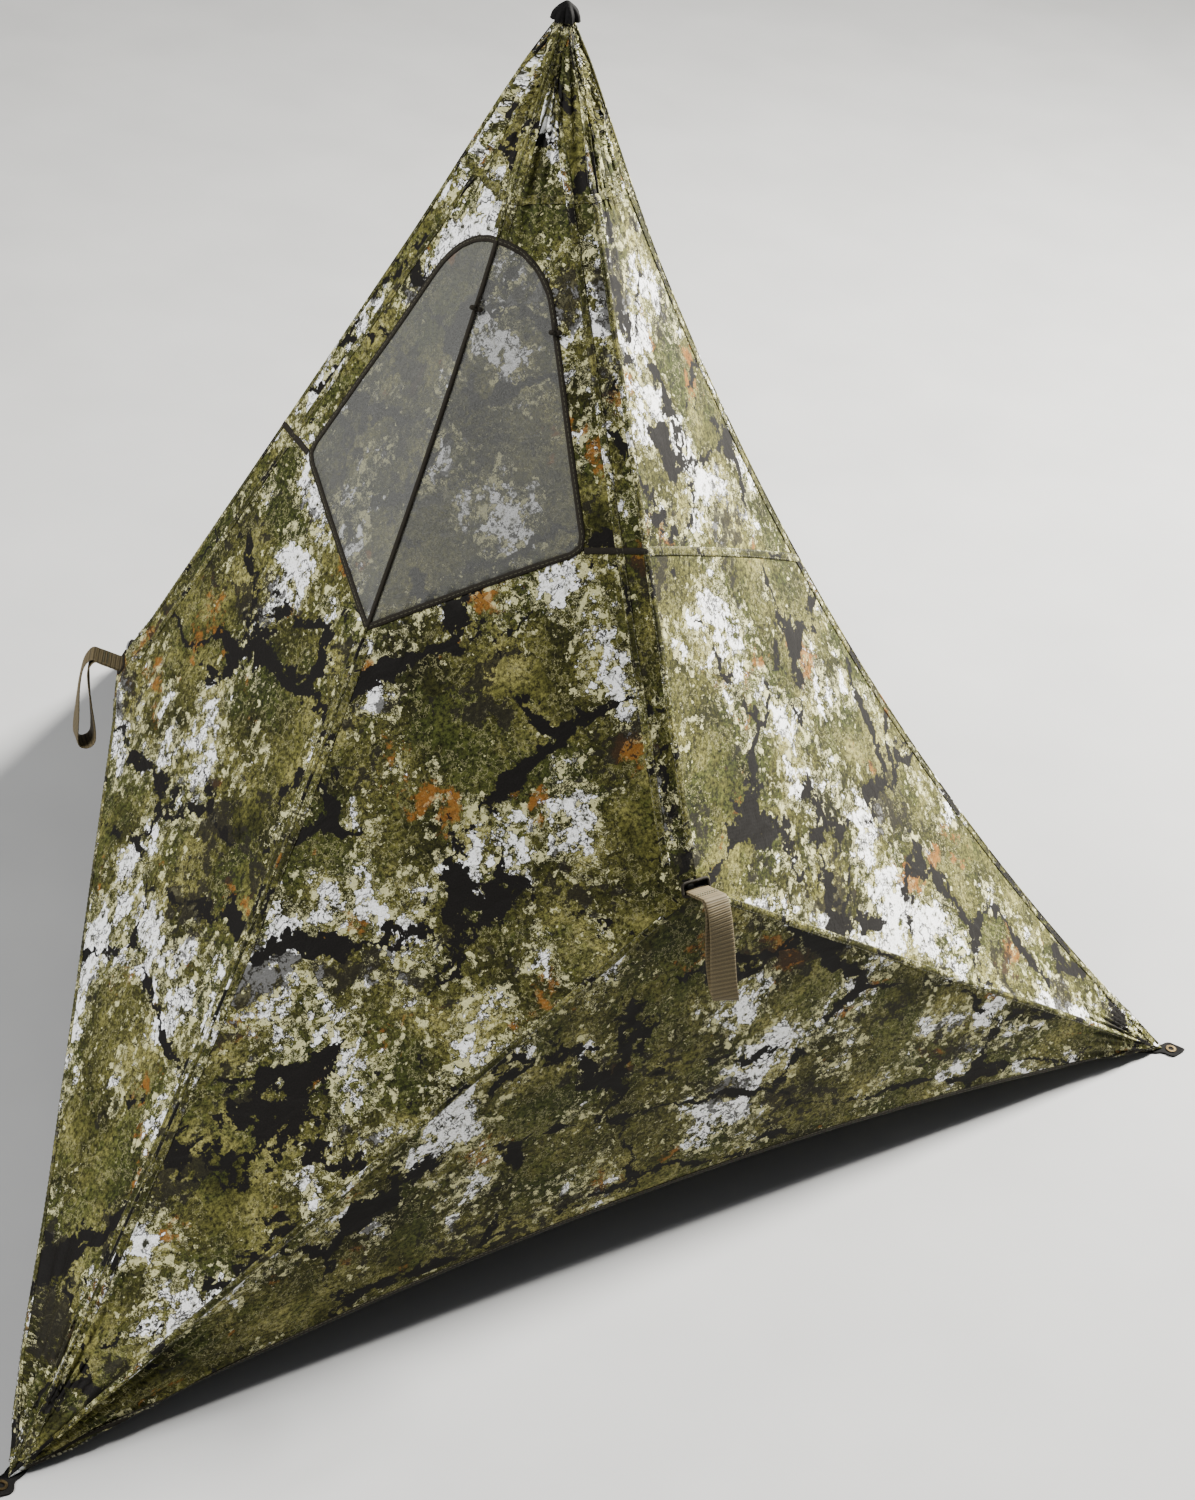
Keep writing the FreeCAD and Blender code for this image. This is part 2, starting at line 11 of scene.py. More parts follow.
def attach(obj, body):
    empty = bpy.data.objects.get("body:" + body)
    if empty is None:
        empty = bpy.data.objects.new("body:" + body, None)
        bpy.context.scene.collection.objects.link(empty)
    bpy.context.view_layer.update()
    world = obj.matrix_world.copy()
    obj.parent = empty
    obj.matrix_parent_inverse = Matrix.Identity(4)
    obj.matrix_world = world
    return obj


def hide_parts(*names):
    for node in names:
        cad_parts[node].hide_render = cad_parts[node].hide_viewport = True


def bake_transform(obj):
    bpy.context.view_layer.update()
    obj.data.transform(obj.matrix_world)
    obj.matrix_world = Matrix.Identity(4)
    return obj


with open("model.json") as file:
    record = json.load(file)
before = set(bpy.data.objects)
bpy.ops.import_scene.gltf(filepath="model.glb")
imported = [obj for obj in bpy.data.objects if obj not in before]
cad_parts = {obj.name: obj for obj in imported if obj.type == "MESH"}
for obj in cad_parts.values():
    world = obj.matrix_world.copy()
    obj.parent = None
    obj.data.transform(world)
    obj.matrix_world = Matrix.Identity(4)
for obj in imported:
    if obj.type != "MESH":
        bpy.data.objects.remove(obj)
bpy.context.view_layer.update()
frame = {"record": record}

# ---- the blind's dimensions, as in the CAD model --------------------
EDGE = 2.1
HUB_PUSH = 0.169
EDGE_SAG = 0.113
HEM_SAG = 0.097
TAB_THICK = 0.003
TAB_REACH = 0.040
PIN_LEVEL = 0.145
STRAP_PIN_LEVEL = 0.0165
STUB_LENGTH = 0.048
LOOP_DROP = 0.0068       # from the stub's end to the point that the loop hangs from
LOOP_HANG = 0.16         # depth of the loop below that point
# The loop from its side: (forward, down) from that point, down its front and up its back
LOOP_SHAPE = [(0.0048, 0.006), (0.0066, 0.022), (0.0088, 0.055), (0.0116, 0.100), (0.0138, 0.135),
              (0.0125, 0.152), (0.0055, 0.1590), (-0.0050, 0.1590), (-0.0125, 0.150), (-0.0130, 0.130),
              (-0.0092, 0.092), (-0.0055, 0.055), (-0.0028, 0.026), (-0.0018, 0.011)]
WEBBING = 0.038
WEBBING_THICK = 0.0024
JAMB_WIDE = 0.070
CLOTH = 0.0008
RIB = 0.0003             # height and pitch of the ribs across the webbing
RIB_PITCH = 0.0034

BASE_R = EDGE / math.sqrt(3)
ROD_PIN = 0.024 / BASE_R            # where the rods' hinge pins are, as a share of hub to corner
ROD_TIP = 1 - 0.075 / BASE_R        # where the rods end
EDGE_STRIP = 0.055                  # fixed cloth round the door, along the wall's edge
RIDGE_STRIP = 0.030                 # and along the lower ridge
CORNER_STRIP = 0.130                # and at the two corners
DOOR_BOW = 0.183                    # how the flat door's travel differs from that of stretched cloth
DOOR_TILT = 0.122
DOOR_CLEAR = 0.02                   # keeps the strips outside the door
HEIGHT = EDGE * math.sqrt(2 / 3)
CENTRE_Y = (BASE_R + TAB_REACH) / 4
CORNER = {
    "apex": np.array((0, CENTRE_Y, TAB_THICK + HEIGHT)),
    "front": np.array((0, CENTRE_Y - BASE_R, TAB_THICK)),
    "right": np.array((EDGE / 2, CENTRE_Y + BASE_R / 2, TAB_THICK)),
    "left": np.array((-EDGE / 2, CENTRE_Y + BASE_R / 2, TAB_THICK)),
}
MIDDLE = np.array((0, CENTRE_Y, TAB_THICK + HEIGHT / 4))

# Pleats that gather the cloth at a corner: (reach, height, folds round the corner)
PLEATS = {"apex": (0.42, 0.0075, 15), "front": (0.45, 0.0070, 15),
          "right": (0.30, 0.0060, 15), "left": (0.30, 0.0060, 15)}

# Window round the front edge: (down the edge, from hub to edge)
SILL_AT_EDGE = (0.414, 1.0)
SILL_CORNER = (0.162, 0.542)
SHOULDER = (0.103, 0.82)
ARCH = (0.118, 0.9)
TOP_AT_EDGE = (0.152, 1.0)

# Seams, as shares of the way from the hub to the apex or the edge
SEAM_ASIDE = 0.040       # metres from the apex ridge to the seam beside it
CROSS_SEAM = 0.396       # where the cross seam meets the apex ridge,
CROSS_SEAM_AT_EDGE = 0.437
APEX_SEAM = 0.79         # and the apex panel's seam

SLIT_HALF = 0.0215       # half length of the slit that a strap comes through
SLIT_UP = 0.0142         # the slit reaches further up, where the strap goes when the hub is in
SLIT_DOWN = 0.0045
COLUMNS = 100            # faces in one facet, along its edge
ROWS = 84                # and from hub to edge
rng = np.random.default_rng(11)


def unit(v):
    return v / np.linalg.norm(v)


def smooth(x, low, high):
    t = np.clip((x - low) / (high - low), 0, 1)
    return t * t * (3 - 2 * t)


WAVES = rng.normal(size=(14, 3))
PHASES = rng.uniform(0, 2 * math.pi, 14)


def waves(points, per_metre):
    """Smooth random field from -1 to 1, made of waves in all directions."""
    return np.sin(points @ (WAVES.T * per_metre) + PHASES).sum(axis=1) / 5.0


def pleat_offset(points):
    """Folds that run out of each corner, the same on both walls that meet there."""
    total = np.zeros_like(points)
    for name, (reach, height, folds) in PLEATS.items():
        axis = unit(MIDDLE - CORNER[name])
        side = unit(np.cross(axis, (0.3, 0.9, 0.2)))
        other = np.cross(axis, side)
        from_corner = points - CORNER[name]
        far = np.linalg.norm(from_corner, axis=1)
        if far.min() > reach:
            continue
        x, y = from_corner @ side, from_corner @ other
        ring = np.maximum(np.hypot(x, y), 1e-6)
        angle = np.arctan2(y, x)
        fold = 0.6 * np.sin(folds * angle + 2.5 * np.sin(2 * angle)) + 0.4 * np.sin((folds + 8) * angle + 1.3)
        fold = 1 - 2 * np.abs(fold) ** 0.7
        size = height * smooth(far, 0.0, 0.10) * (1 - smooth(far, 0.3 * reach, reach))
        total += (fold * size / ring)[:, None] * (x[:, None] * side + y[:, None] * other)
    return total


class Wall:
    """One wall of the tetrahedron, addressed by flat coordinates: across it and up it from its hub."""
    NAMES = {"right": ("apex", "front", "right"), "left": ("apex", "front", "left"),
             "rear": ("apex", "right", "left")}

    def __init__(self, name):
        self.name = name
        names = self.NAMES[name]
        self.centre = sum(CORNER[n] for n in names) / 3
        self.out = unit(self.centre - MIDDLE)
        self.up = unit(CORNER["apex"] - self.centre)
        self.across = np.cross(self.out, self.up)
        self.hub = self.centre + self.out * HUB_PUSH
        self.flat = {n: np.array(((CORNER[n] - self.centre) @ self.across,
                                  (CORNER[n] - self.centre) @ self.up)) for n in names}
        self.facets = [(names[0], names[1]), (names[0], names[2]), (names[1], names[2])]
        self.inverse = [np.linalg.inv(np.column_stack((self.flat[a], self.flat[b]))) for a, b in self.facets]
        self.sags = [self.sag_vector(a, b) for a, b in self.facets]

    def sag_vector(self, a, b):
        slanting = "apex" in (a, b)
        goal = MIDDLE if slanting else self.hub
        along = unit(CORNER[b] - CORNER[a])
        line = goal - (CORNER[a] + CORNER[b]) / 2
        return unit(line - along * (line @ along)) * (EDGE_SAG if slanting else HEM_SAG) * 4

    def shares(self, st):
        """Facet that each flat point lies in, and its shares of the facet's two corners."""
        pairs = np.stack([st @ inverse.T for inverse in self.inverse])
        facet = pairs.min(axis=2).argmax(axis=0)
        both = pairs[facet, np.arange(len(st))]
        return facet, both[:, 0], both[:, 1]

    def facet_at(self, place):
        return int(self.shares(np.array([(place[0], place[1])]))[0][0])

    def reach(self, st):
        """0 at the hub and 1 at the wall's edge."""
        _, a, b = self.shares(st)
        return a + b

    def door_margins(self, st):
        """Distances from the flat edge between apex and left corner and from the lower ridge."""
        middle = (self.flat["apex"] + self.flat["left"]) / 2
        return np.linalg.norm(middle) - st @ unit(middle), st @ self.above_left_ridge()

    def above_left_ridge(self):
        way = unit(self.flat["left"])
        normal = np.array((way[1], -way[0]))
        return normal if normal @ self.flat["apex"] > 0 else -normal

    def carried(self, st):
        """Share of the hub's travel that the cloth makes: as much as the rod under the ridge beside it."""
        facet, a, b = self.shares(st)
        rods = (ROD_TIP - a - b) / (ROD_TIP - ROD_PIN)
        cloth = np.clip(rods, 0, 1)
        if self.name != "rear":
            return cloth
        off_ridge = np.clip(b / 0.1, 0, 1)
        door = np.clip(rods + DOOR_BOW * 4 * a * b + DOOR_TILT * b - DOOR_CLEAR * off_ridge, 0, 1)
        from_edge, from_ridge = self.door_margins(st)
        beside = np.clip(from_ridge / RIDGE_STRIP, 0, 1)
        strip = (cloth * (1 - beside) + door * beside) * np.clip(from_edge / EDGE_STRIP, 0, 1)
        return np.where(facet == 1, strip, cloth)

    def surface(self, st):
        """Points on the cloth's outer face."""
        facet, share_a, share_b = self.shares(st)
        points = np.zeros((len(st), 3))
        for index, (a, b) in enumerate(self.facets):
            mine = facet == index
            sa, sb = share_a[mine, None], share_b[mine, None]
            points[mine] = (self.hub + (CORNER[a] - self.hub) * sa + (CORNER[b] - self.hub) * sb
                            + self.sags[index] * sa * sb)
        v = share_a + share_b
        near_ridge = smooth(np.minimum(share_a, share_b), 0.0, 0.16)
        near_edge = 1 - smooth(v, 0.82, 1.0)
        calm = near_ridge * near_edge
        ripples = 0.0045 * waves(points, 5.5) + 0.0018 * waves(points[:, ::-1] + 3, 16)
        # Drag lines run from the hub's peak out into each facet
        turn = np.arctan2(st[:, 1], st[:, 0])
        drag = np.sin(31 * turn + 2.2 * np.sin(5 * turn)) * 0.0016 * np.exp(-((v - 0.2) / 0.16) ** 2)
        radius = np.hypot(st[:, 0], st[:, 1])
        # The cloth stands up over the hub's plate, but not at the slit
        dome = 0.005 * (1 - smooth(radius, 0.034, 0.10)) * smooth(radius, 0.0, 0.022)
        points += self.out * (ripples * calm + drag * smooth(v, 0.04, 0.12) * near_ridge + dome)[:, None]
        points += pleat_offset(points)
        points[:, 2] = np.maximum(points[:, 2], 0.0024)
        return points

    def place(self, st, lift=0.0):
        """Points on the cloth, or `lift` metres outside it."""
        st = np.asarray(st, float)
        points = self.surface(st)
        if np.any(lift):
            step = 0.003
            east = self.surface(st + (step, 0)) - self.surface(st - (step, 0))
            north = self.surface(st + (0, step)) - self.surface(st - (0, step))
            normal = np.cross(east, north)
            normal /= np.linalg.norm(normal, axis=1)[:, None]
            normal *= np.sign(normal @ self.out)[:, None]
            points = points + normal * np.reshape(lift, (-1, 1))
        return points

    def spot(self, a, b, u, v):
        """Flat coordinates of a point given down an edge and from hub to edge."""
        return self.flat[a] * (1 - u) * v + self.flat[b] * u * v


WALL = {name: Wall(name) for name in Wall.NAMES}


# ---- building blocks --------------------

def new_object(name, points, faces, uvs=None):
    """Mesh object from arrays; uvs is one pair per vertex."""
    mesh = bpy.data.meshes.new(name)
    mesh.from_pydata([tuple(p) for p in points], [], [tuple(f) for f in faces])
    mesh.validate()
    obj = bpy.data.objects.new(name, mesh)
    bpy.context.scene.collection.objects.link(obj)
    if uvs is not None:
        layer = mesh.uv_layers.new(name="UVMap")
        loops = np.empty(len(mesh.loops), dtype=np.int32)
        mesh.loops.foreach_get("vertex_index", loops)
        layer.data.foreach_set("uv", np.asarray(uvs, float)[loops].astype(np.float32).ravel())
    mesh.polygons.foreach_set("use_smooth", [True] * len(mesh.polygons))
    mesh.update()
    return obj


def follow_hub(obj):
    """Bakes the piece's transform into its mesh."""
    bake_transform(obj)
    return obj


def slit_radius(direction):
    """Distance from the hub's axis to the slit's rim in each direction of the wall's plane."""
    high = np.where(direction[:, 1] > 0, SLIT_UP, SLIT_DOWN)
    x, y = np.abs(direction[:, 0]) / SLIT_HALF, np.abs(direction[:, 1]) / high
    return (x ** 6 + y ** 6) ** (-1 / 6)


def graded(count, strength):
    """0 to 1, closer together near both ends."""
    s = np.linspace(0, 1, count + 1)
    return s - strength * np.sin(2 * math.pi * s) / (2 * math.pi)


def flat_sector(wall, facet):
    """Grid of one facet in flat coordinates, from the slit's rim to the wall's edge."""
    a, b = wall.facets[facet]
    u = graded(COLUMNS, 0.85)[:, None]
    rim = wall.flat[a] * (1 - u) + wall.flat[b] * u
    far = np.linalg.norm(rim, axis=1)
    way = rim / far[:, None]
    near = slit_radius(way)
    g = graded(ROWS, 0.7)[:, None]
    radius = near + (far - near) * g
    return radius[:, :, None] * way[None, :, :]


def flat_mesh(wall, facets):
    """Bmesh of some of a wall's facets, laid flat, sewn along the ridges that they share."""
    bm = bmesh.new()
    for facet in facets:
        grid = flat_sector(wall, facet)
        rows = [[bm.verts.new((s, t, 0)) for s, t in row] for row in grid]
        for low, high in zip(rows, rows[1:]):
            for i in range(COLUMNS):
                bm.faces.new((low[i], low[i + 1], high[i + 1], high[i]))
    bmesh.ops.remove_doubles(bm, verts=bm.verts, dist=1e-5)
    return bm


def cut_line(bm, point, normal, inside):
    """Splits the faces for which inside(centre) holds along a line."""
    faces = [f for f in bm.faces if inside(f.calc_center_median())]
    edges = {e for f in faces for e in f.edges}
    verts = {v for f in faces for v in f.verts}
    bmesh.ops.bisect_plane(bm, geom=list(verts) + list(edges) + faces, dist=1e-6,
                           plane_co=(point[0], point[1], 0), plane_no=(normal[0], normal[1], 0))


def inside_of(outline):
    """Test for a convex outline that runs anticlockwise."""
    sides = []
    for p, q in zip(outline, outline[1:]):
        sides.append((p, (q[1] - p[1], p[0] - q[0])))

    def test(point):
        return all((point[0] - p[0]) * n[0] + (point[1] - p[1]) * n[1] < 1e-7 for p, n in sides)
    return test


def cut_outline(bm, outline):
    """Splits the mesh along an open convex outline that starts and ends beyond the wall's edge."""
    low, high = np.min(outline, axis=0) - 0.03, np.max(outline, axis=0) + 0.03
    for p, q in zip(outline, outline[1:]):
        normal = (q[1] - p[1], p[0] - q[0])
        near_low, near_high = np.minimum(p, q) - 0.05, np.maximum(p, q) + 0.05

        def close(c, near_low=near_low, near_high=near_high):
            return (near_low[0] < c[0] < near_high[0] and near_low[1] < c[1] < near_high[1]
                    and low[0] < c[0] < high[0] and low[1] < c[1] < high[1])
        cut_line(bm, p, normal, close)


def flat_arrays(bm, keep=None):
    """Points and faces of a flat bmesh, or of its faces for which keep(centre) holds."""
    faces = [f for f in bm.faces if keep is None or keep(f.calc_center_median())]
    used = {}
    out = []
    for f in faces:
        out.append([used.setdefault(v, len(used)) for v in f.verts])
    points = np.array([(v.co.x, v.co.y) for v in used])
    return points, out


PANEL_TURN = (0.15, 1.25, -0.1, 0.3, 1.1, 0.0, 0.2)


def panel_uv(points, panel):
    """Cloth coordinates in metres; each panel was cut from another place on the roll."""
    c, s = math.cos(PANEL_TURN[panel]), math.sin(PANEL_TURN[panel])
    shift = 1.7 * panel
    x = c * points[:, 0] - s * points[:, 1] + shift
    y = s * points[:, 0] + c * points[:, 1] + 0.6 * shift
    return np.column_stack((x, y))


def thick_cloth(name, wall, points, faces, panels, material, thickness=CLOTH, lift=0.0):
    """Sheet with two faces and a rim. Returns the object, its weights and the area of its outer face."""
    top = wall.place(points, lift)
    bottom = wall.place(points, lift - thickness)
    count = len(points)
    a0, b0, c0 = (top[[f[i] for f in faces]] for i in (0, 1, 2))
    outward = (np.cross(b0 - a0, c0 - a0).sum(axis=0) @ wall.out) > 0
    tops = [f if outward else f[::-1] for f in faces]
    bottoms = [[i + count for i in f[::-1]] for f in tops]
    single = {}
    for f in tops:
        for i, j in zip(f, f[1:] + f[:1]):
            if (j, i) in single:
                del single[(j, i)]
            else:
                single[(i, j)] = True
    rim = [[j, i, i + count, j + count] for i, j in single]
    all_faces = tops + bottoms + rim
    obj = new_object(name, np.vstack((top, bottom)), all_faces)
    obj.data.materials.append(material)
    layer = obj.data.uv_layers.new(name="UVMap")
    flat = np.vstack((points, points))
    uvs = {p: panel_uv(flat, p) for p in set(panels)}
    values = []
    for index, f in enumerate(all_faces):
        panel = panels[index % len(faces)] if index < 2 * len(faces) else panels[0]
        values.extend(uvs[panel][f].ravel())
    layer.data.foreach_set("uv", np.array(values, np.float32))
    return obj, wall.carried(flat), area_of(top, tops)


def area_of(points, faces):
    total = 0.0
    for f in faces:
        p = points[f]
        total += np.linalg.norm(np.cross(p[1:-1] - p[0], p[2:] - p[0]), axis=1).sum() / 2
    return float(total)


def distances(points):
    """How far along a line each of its points is."""
    return np.concatenate(([0], np.cumsum(np.linalg.norm(np.diff(points, axis=0), axis=1))))


def directions(points):
    along = np.gradient(points, axis=0)
    return along / np.linalg.norm(along, axis=1)[:, None]


def resample(path, step):
    """Evenly spaced points along a line, and how far along it each is."""
    path = np.asarray(path, float)
    far = distances(path)
    count = max(2, int(round(far[-1] / step)) + 1)
    at = np.linspace(0, far[-1], count)
    return np.column_stack([np.interp(at, far, path[:, k]) for k in range(path.shape[1])]), at


def sideways(path, closed=False):
    """Directions along a flat path and square to it."""
    along = np.gradient(path, axis=0)
    if closed:
        along = np.roll(path, -1, axis=0) - np.roll(path, 1, axis=0)
    along /= np.maximum(np.linalg.norm(along, axis=1), 1e-9)[:, None]
    return along, np.column_stack((-along[:, 1], along[:, 0]))


class Pile:
    """Collects points and faces of many small strips into one mesh."""

    def __init__(self):
        self.points, self.faces, self.uvs, self.weights, self.count = [], [], [], [], 0

    def add(self, points, faces, uvs, weights):
        self.points.append(points)
        self.faces.extend([[i + self.count for i in f] for f in faces])
        self.uvs.append(uvs)
        self.weights.append(weights)
        self.count += len(points)

    def build(self, name, material, slot):
        obj = new_object(name, np.vstack(self.points), self.faces, np.vstack(self.uvs))
        obj.data.materials.append(material)
        return obj, np.concatenate(self.weights)


def lattice_faces(rows, columns, closed_rows=False, closed_columns=False):
    faces = []
    for r in range(rows if closed_rows else rows - 1):
        for c in range(columns if closed_columns else columns - 1):
            r2, c2 = (r + 1) % rows, (c + 1) % columns
            faces.append([r * columns + c, r * columns + c2, r2 * columns + c2, r2 * columns + c])
    return faces


def ribbon(pile, wall, path, width, height, step=0.010, closed=False, rise=0.0002):
    """Tape laid on the cloth along a flat path, with rolled edges."""
    line, at = resample(path, step)
    if closed:
        line, at = line[:-1], at[:-1]
    _, side = sideways(line, closed)
    profile = [(-0.5, -0.0002), (-0.5, height * 0.6), (-0.42, height), (0.0, height * 1.12),
               (0.42, height), (0.5, height * 0.6), (0.5, -0.0002)]
    rows = []
    for x, y in profile:
        rows.append(wall.place(line + side * (x * width), y + rise))
    points = np.stack(rows, axis=1).reshape(-1, 3)
    faces = lattice_faces(len(line), len(profile), closed_rows=closed, closed_columns=True)
    uvs = np.array([(d, x * width) for d in at for x, _ in profile])
    weights = np.stack([wall.carried(line + side * (x * width)) for x, _ in profile], axis=1).ravel()
    pile.add(points, faces, uvs, weights)


def stitch_row(pile, wall, path, offset, height, pitch=0.0075, length=0.0048, width=0.0011, rise=0.0006):
    """Thread lying on a seam: a low roof-shaped bump for each stitch."""
    line, _ = resample(path, pitch)
    along, side = sideways(line)
    middle = line + side * offset
    pattern = [(-0.5, -0.5, 0), (0.5, -0.5, 0), (0.5, 0.5, 0), (-0.5, 0.5, 0), (-0.35, 0, 1), (0.35, 0, 1)]
    rows = [wall.place(middle + along * (x * length) + side * (y * width), height + z * rise)
            for x, y, z in pattern]
    points = np.stack(rows, axis=1).reshape(-1, 3)
    faces = []
    for k in range(len(middle)):
        i = 6 * k
        faces += [[i, i + 1, i + 5, i + 4], [i + 2, i + 3, i + 4, i + 5],
                  [i + 1, i + 2, i + 5], [i + 3, i, i + 4], [i + 3, i + 2, i + 1, i]]
    weights = np.repeat(wall.carried(middle), 6)
    pile.add(points, faces, np.zeros((len(points), 2)), weights)


def tube_faces(rows, columns):
    """Faces of a tube with both ends closed."""
    ends = [list(range(columns))[::-1], [(rows - 1) * columns + k for k in range(columns)]]
    return lattice_faces(rows, columns, closed_columns=True) + ends


def tube(pile, points, radius, sides=8, weights=None):
    """Round cord along a line in space."""
    points = np.asarray(points, float)
    along = directions(points)
    reference = unit(np.array((0.31, 0.17, 0.93)))
    x = np.cross(along, reference)
    x /= np.linalg.norm(x, axis=1)[:, None]
    y = np.cross(along, x)
    radius = np.broadcast_to(np.asarray(radius, float), (len(points),))
    ring = []
    for k in range(sides):
        angle = 2 * math.pi * k / sides
        ring.append(points + (x * math.cos(angle) + y * math.sin(angle)) * radius[:, None])
    body = np.stack(ring, axis=1).reshape(-1, 3)
    uvs = np.array([(d, k / sides * 0.01) for d in distances(points) for k in range(sides)])
    own = np.zeros(len(points)) if weights is None else weights
    pile.add(body, tube_faces(len(points), sides), uvs, np.repeat(own, sides))


def sew_on(pile, name, material, slot):
    """Makes a pile into one piece, with its transform baked into the mesh."""
    obj, weights = pile.build(name, material, slot)
    return follow_hub(obj)


def seam(tape, thread, wall, path, width, height, aside, step=0.010, above=0.0003):
    """Tape over a seam, with a row of stitches near each of its sides."""
    ribbon(tape, wall, path, width, height, step)
    for offset in (-aside, aside):
        stitch_row(thread, wall, path, offset, height + above)


# ---- materials --------------------

class Maker:
    """Small helper that writes a material's nodes."""

    def __init__(self, name):
        self.material = bpy.data.materials.new(name)
        self.material.use_nodes = True
        self.tree = self.material.node_tree
        self.shader = self.tree.nodes["Principled BSDF"]

    def node(self, kind, inputs=None, **settings):
        node = self.tree.nodes.new("ShaderNode" + kind)
        for key, value in settings.items():
            setattr(node, key, value)
        for key, value in (inputs or {}).items():
            self.put(node.inputs[key], value)
        return node

    def put(self, socket, value):
        if isinstance(value, bpy.types.NodeSocket):
            self.tree.links.new(value, socket)
        else:
            socket.default_value = value

    def uv(self, scale=(1, 1, 1)):
        where = self.node("UVMap", uv_map="UVMap").outputs[0]
        return self.node("Mapping", {"Vector": where, "Scale": scale}).outputs[0]

    def local(self, scale=(1, 1, 1)):
        where = self.node("TexCoord").outputs["Object"]
        return self.node("Mapping", {"Vector": where, "Scale": scale}).outputs[0]

    def noise(self, vector, scale, detail=4.0, rough=0.5, output="Fac", distortion=0.0):
        return self.node("TexNoise", {"Vector": vector, "Scale": scale, "Detail": detail,
                                      "Roughness": rough, "Distortion": distortion}).outputs[output]

    def step(self, value, low, high):
        """0 below low and 1 above high."""
        return self.node("MapRange", {"Value": value, "From Min": low, "From Max": high}).outputs[0]

    def mix(self, share, a, b, blend="MIX"):
        node = self.node("Mix", data_type="RGBA", blend_type=blend)
        for index, value in ((0, share), (6, a), (7, b)):
            self.put(node.inputs[index], value)
        return node.outputs[2]

    def math(self, what, a, b=0.0):
        node = self.node("Math", operation=what)
        self.put(node.inputs[0], a)
        self.put(node.inputs[1], b)
        return node.outputs[0]

    def times(self, a, b):
        return self.math("MULTIPLY", a, b)

    def plus(self, a, b):
        return self.math("ADD", a, b)

    def minus(self, a, b):
        return self.math("SUBTRACT", a, b)

    def ramp(self, value, stops):
        node = self.node("ValToRGB", {"Fac": value})
        elements = node.color_ramp.elements
        while len(elements) < len(stops):
            elements.new(0.5)
        for element, (position, colour) in zip(elements, stops):
            element.position = position
            element.color = (*colour, 1)
        return node.outputs[0]

    def bump(self, height, distance, strength=1.0, under=None):
        inputs = {"Height": height, "Distance": distance, "Strength": strength}
        if under is not None:
            inputs["Normal"] = under
        return self.node("Bump", inputs).outputs[0]

    def finish(self, **inputs):
        for key, value in inputs.items():
            self.put(self.shader.inputs[key.replace("_", " ")], value)
        return self.material


